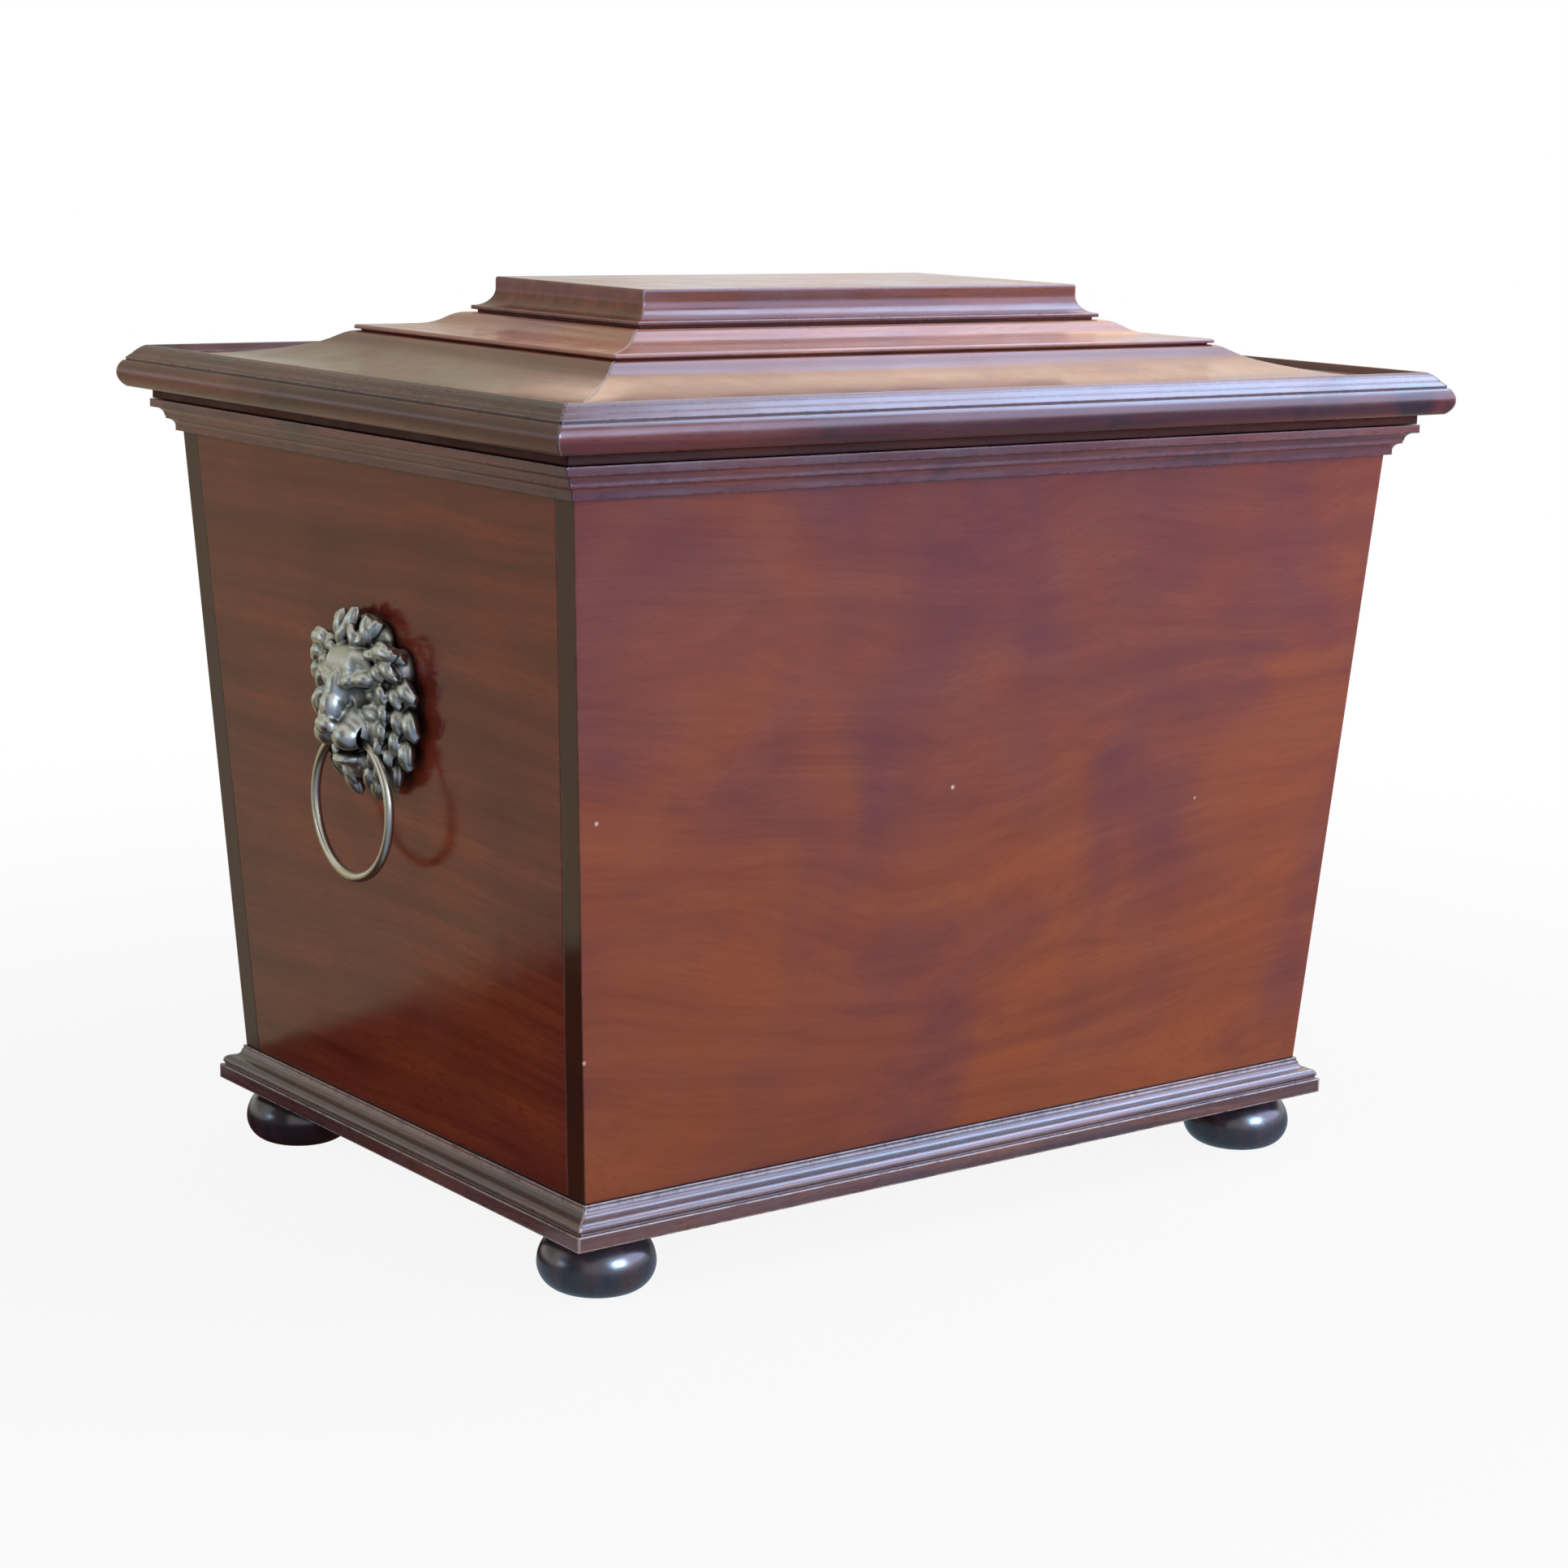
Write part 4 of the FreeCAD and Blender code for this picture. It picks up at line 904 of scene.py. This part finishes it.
    def place(self, head: Piece, side: str, finishes: Finishes) -> None:
        """Stand a copy of the head on one end of the case.

        Args:
            head: the modelled head.
            side: left or right.
            finishes: where its brass comes from.
        """
        hand = -1 if side == "left" else 1
        panel_low, panel_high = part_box(f"{side}_side_panel")
        reach = max(abs(panel_low.x), abs(panel_high.x))
        foot = min(abs(panel_low.x), abs(panel_high.x)) + self.board * MM
        lean = math.atan2(reach - foot, panel_high.z - panel_low.z)
        out = Vector((hand * math.cos(lean), 0, -math.sin(lean)))
        up = Vector((hand * math.sin(lean), 0, math.cos(lean)))
        joint = next(j for j in frame["joints"] if j["name"] == f"ring_{side}_swing")
        origin = Vector(joint["pos_m"]) - out * self.ring_out * MM + up * self.ring_drop * MM
        turned = Matrix((up.cross(out), up, out)).transposed().to_4x4()
        piece = new_object(f"lion_mask_{side}", head.data.copy())
        piece.data.transform(Matrix.Translation(origin) @ turned)
        dress(piece, finishes.of("antique_brass"))
        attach(piece, "case")
        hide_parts(f"mask_{side}")


# -------- the whole piece
@dataclass
class Cellarette:
    """The case, its lid and its metalwork."""

    finishes: Finishes = field(default_factory=Finishes)

    def slots(self) -> dict[str, str]:
        """The record's material slot of each node."""
        return {entry["node"]: entry["material_slot"] for entry in frame["record"]["subparts"]}

    def bodies(self) -> dict[str, str]:
        """The body that each node rides on."""
        groups = frame["record"]["behaviour"]["bodies"]
        return {node: body for body, nodes in groups.items() for node in nodes}

    def build_woodwork(self) -> None:
        """Finish every board and moulding."""
        woodwork = Woodwork(self.finishes)
        bodies = self.bodies()
        for node, slot in sorted(self.slots().items()):
            if slot in self.finishes.woods:
                piece = woodwork.finish(node, bodies[node], slot)
                LOG.info("%s: %d faces", piece.name, len(piece.data.polygons))

    def build_metalwork(self) -> None:
        """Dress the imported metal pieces, and hang the modelled lion masks."""
        for node, slot in self.slots().items():
            if slot in self.finishes.metals and not node.startswith("mask"):
                metal = frame["nodes"][node]
                metal.data.materials.clear()
                metal.data.materials.append(self.finishes.of(slot))
        mask = LionMask()
        head = mask.cast()
        for side in ("left", "right"):
            mask.place(head, side, self.finishes)
        LOG.info("lion masks: %d faces each", len(head.data.polygons))
        bpy.data.objects.remove(head)


# -------- studio
@dataclass(frozen=True)
class Flag:
    """A glowing card that only the polish sees, as it would mirror a room's floor or wall."""

    name: str
    middle: Triple
    size: Pair
    facing: Triple
    glow: Triple
    far_glow: Triple | None = None  # at the card's front edge, if it differs

    def hang(self) -> Piece:
        """Hang the card, and hide it from everything but reflections."""
        bpy.ops.mesh.primitive_plane_add(size=1)
        card = bpy.context.object
        card.name = f"studio_{self.name}"
        card.scale = (*self.size, 1)
        card.rotation_euler = Vector(self.facing).to_track_quat("Z", "Y").to_euler()
        card.location = self.middle
        bpy.ops.object.transform_apply()
        material, tree = bare_material(f"studio_{self.name}_paint")
        glow = add(tree, "ShaderNodeEmission", {"Color": (*self.glow, 1)})
        if self.far_glow:
            self.fade(tree, glow)
        add(tree, "ShaderNodeOutputMaterial", links={"Surface": glow.outputs[0]})
        card.data.materials.append(material)
        card.visible_camera = False
        card.visible_diffuse = False
        card.visible_shadow = False
        return card

    def fade(self, tree: Tree, glow: Node) -> None:
        """Change the glow evenly from the card's back edge to its front edge."""
        place = add(tree, "ShaderNodeTexCoord").outputs["Object"]
        depth = add(tree, "ShaderNodeSeparateXYZ", links={0: place}).outputs["Y"]
        half = self.size[1] / 2
        share = remap(tree, depth, self.middle[1] + half, self.middle[1] - half)
        mixed = add(tree, "ShaderNodeMix", {"data_type": "RGBA", 6: (*self.glow, 1),
                                            7: (*self.far_glow, 1)}, {0: share})
        tree.links.new(mixed.outputs[2], glow.inputs["Color"])


def window(name: str, towards: Triple, distance: float, size: Pair,
           glow: Triple) -> Flag:
    """A bright card that faces the object, as a window or a pale wall does in the polish.

    Args:
        name: its name.
        towards: the way to it from the object.
        distance: how far off it is, in metres.
        size: its width and height.
        glow: its brightness, red, green and blue.

    Returns:
        The card.
    """
    way = Vector(towards).normalized()
    middle = Vector(MIDDLE) + way * distance
    return Flag(name, tuple(middle), size, tuple(-way), glow)


@dataclass
class Studio:
    """A pale floor, soft lamps and the camera."""

    camera_at: Triple = (-1.0774, -1.4066, 0.5466)
    yaw: float = 37.53  # degrees, as are the next two
    pitch: float = -11.07
    roll: float = 1.33
    lens: float = 76.42  # mm, on a sensor 36 mm wide
    sensor: float = 36.0
    sky_strength: float = 0.34
    floor_size: float = 40.0
    near_white: float = 0.90  # the rest of the floor's look near the object is its own light
    near: float = 0.35  # where that starts to give way, metres
    far: float = 1.3  # and where the floor is all white
    flags: tuple[Flag, ...] = (
        Flag("table", (-0.3, 0.1075, 0.0009), (1.5, 0.355), (0, 0, 1), (0.050, 0.018, 0.014)),
        Flag("ground_back", (0, 4.0, 0.0006), (12, 8), (0, 0, 1), (0.50, 0.46, 0.33)),
        Flag("ground_front", (0, -0.685, 0.0006), (12, 1.23), (0, 0, 1), (0.26, 0.36, 0.42),
             (0.46, 0.54, 1.05)),
        Flag("ground_far", (0, -3.3, 0.0006), (12, 4.0), (0, 0, 1), (0.42, 0.46, 1.00),
             (0.3, 0.4, 0.8)),
        Flag("wall_back", (-0.9, 3.4, 2.7), (6.2, 3.6), (0, -1, 0), (0.60, 0.62, 0.48)),
        Flag("wall_left", (-3.4, -0.6, 1.4), (2.8, 5.0), (1, 0, 0), (0.12, 0.10, 0.08)),
        window("wall_cream", (0.60, 0.60, 0.53), 3.0, (1.8, 1.4), (2.5, 2.0, 1.55)),
        window("window_sky", (0.62, -0.20, 0.72), 2.6, (1.5, 1.1), (6.4, 8.4, 12.4)),
        window("window_high", (0.58, 0.25, 0.76), 2.6, (1.2, 1.1), (2.9, 3.1, 4.2)),
        window("sky_right", (0.70, -0.62, 0.38), 3.2, (3.4, 1.6), (3.4, 3.6, 5.4)),
        window("window_front", (0.12, -0.93, 0.32), 3.0, (1.2, 0.8), (27.0, 40.0, 60.0)),
        window("window_left", (-0.96, 0.20, 0.13), 3.0, (0.6, 0.5), (3.5, 5.0, 7.0)),
    )

    def white_for_the_eye(self, tree: Tree) -> Socket:
        """Where a ray comes straight from the eye, or by way of gloss or glass."""
        path = add(tree, "ShaderNodeLightPath")
        direct = maths(tree, "MAXIMUM", path.outputs["Is Camera Ray"], path.outputs["Is Glossy Ray"])
        return maths(tree, "MAXIMUM", direct, path.outputs["Is Transmission Ray"])

    def light_world(self) -> None:
        """A dim soft sky that the eye and the polish see as white."""
        world = bpy.data.worlds.new("studio_air")
        world.use_nodes = True
        tree = world.node_tree
        tree.nodes.clear()
        air = add(tree, "ShaderNodeBackground",
                  {"Color": linear("#e8e6ea"), "Strength": self.sky_strength})
        white = add(tree, "ShaderNodeBackground", {"Color": (1, 1, 1, 1)})
        mixed = add(tree, "ShaderNodeMixShader",
                    links={0: self.white_for_the_eye(tree), 1: air.outputs[0], 2: white.outputs[0]})
        add(tree, "ShaderNodeOutputWorld", links={"Surface": mixed.outputs[0]})
        bpy.context.scene.world = world

    def lay_floor(self) -> None:
        """A white floor that keeps a soft shadow."""
        bpy.ops.mesh.primitive_plane_add(size=self.floor_size)
        floor = bpy.context.object
        floor.name = "studio_floor"
        material, tree = bare_material("studio_floor_paint")
        matt = add(tree, "ShaderNodeBsdfDiffuse", {"Color": linear("#e4e4e4")})
        glow = add(tree, "ShaderNodeEmission", {"Color": (1, 1, 1, 1)})
        place = add(tree, "ShaderNodeTexCoord").outputs["Object"]
        distance = operate(tree, "ShaderNodeVectorMath", "LENGTH", (place,)).outputs["Value"]
        whiteness = remap(tree, distance, self.near, self.far, self.near_white, 1.0, "SMOOTHSTEP")
        share = maths(tree, "MULTIPLY", self.white_for_the_eye(tree), whiteness)
        mixed = add(tree, "ShaderNodeMixShader",
                    links={0: share, 1: matt.outputs[0], 2: glow.outputs[0]})
        add(tree, "ShaderNodeOutputMaterial", links={"Surface": mixed.outputs[0]})
        floor.data.materials.append(material)

    def hang_lamp(self, name: str, towards: Triple, distance: float, size: Pair,
                  radiance: float, colour: str) -> None:
        """Hang a soft rectangular lamp that faces the object.

        Args:
            name: the lamp's name.
            towards: the way to it from the object.
            distance: how far off it hangs, in metres.
            size: its width and height.
            radiance: its brightness, where 1 is the white of the floor.
            colour: its colour.
        """
        way = Vector(towards).normalized()
        data = bpy.data.lights.new(name, "AREA")
        data.shape = "RECTANGLE"
        data.size, data.size_y = size
        data.energy = radiance * math.pi * size[0] * size[1]
        data.color = linear(colour)[:3]
        lamp = new_object(name, data)
        lamp.location = Vector(MIDDLE) + way * distance
        lamp.rotation_euler = way.to_track_quat("Z", "Y").to_euler()
        lamp.visible_glossy = False

    def set_camera(self) -> None:
        """Stand the camera where it sees the front and the left end."""
        yaw, pitch, roll = (math.radians(a) for a in (self.yaw, self.pitch, self.roll))
        ahead = Vector((math.sin(yaw) * math.cos(pitch), math.cos(yaw) * math.cos(pitch),
                        math.sin(pitch)))
        right = Vector((math.cos(yaw), -math.sin(yaw), 0))
        above = right.cross(ahead)
        side = math.cos(roll) * right + math.sin(roll) * above
        top = -math.sin(roll) * right + math.cos(roll) * above
        data = bpy.data.cameras.new("camera")
        data.sensor_width = self.sensor
        data.lens = self.lens
        camera = new_object("camera", data)
        turned = Matrix((side, top, -ahead)).transposed().to_4x4()
        camera.matrix_world = Matrix.Translation(Vector(self.camera_at)) @ turned
        bpy.context.scene.camera = camera

    def build(self) -> None:
        """Set up everything round the object."""
        bpy.context.scene.view_settings.view_transform = "Standard"
        self.light_world()
        self.lay_floor()
        self.hang_lamp("top_softbox", (0.55, -0.34, 0.76), 2.6, (2.4, 1.8), 2.2, "#f2f5ff")
        self.hang_lamp("front_softbox", (0.42, -0.89, 0.14), 2.4, (2.4, 1.1), 1.8, "#fff6ee")
        self.hang_lamp("low_bounce", (0.35, -0.95, -0.20), 1.0, (1.0, 0.4), 1.7, "#fffaf4")
        self.hang_lamp("left_fill", (-0.94, 0.0, 0.34), 2.5, (2.0, 1.5), 1.0, "#fff4ea")
        for flag in self.flags:
            flag.hang()
        self.set_camera()


def main() -> None:
    """Build, dress and light the cellarette."""
    logging.basicConfig(level=logging.INFO, format="%(name)s: %(message)s")
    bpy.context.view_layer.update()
    bpy.ops.object.select_all(action="DESELECT")
    cellarette = Cellarette()
    cellarette.build_woodwork()
    cellarette.build_metalwork()
    Studio().build()


if __name__ == "__main__":
    main()
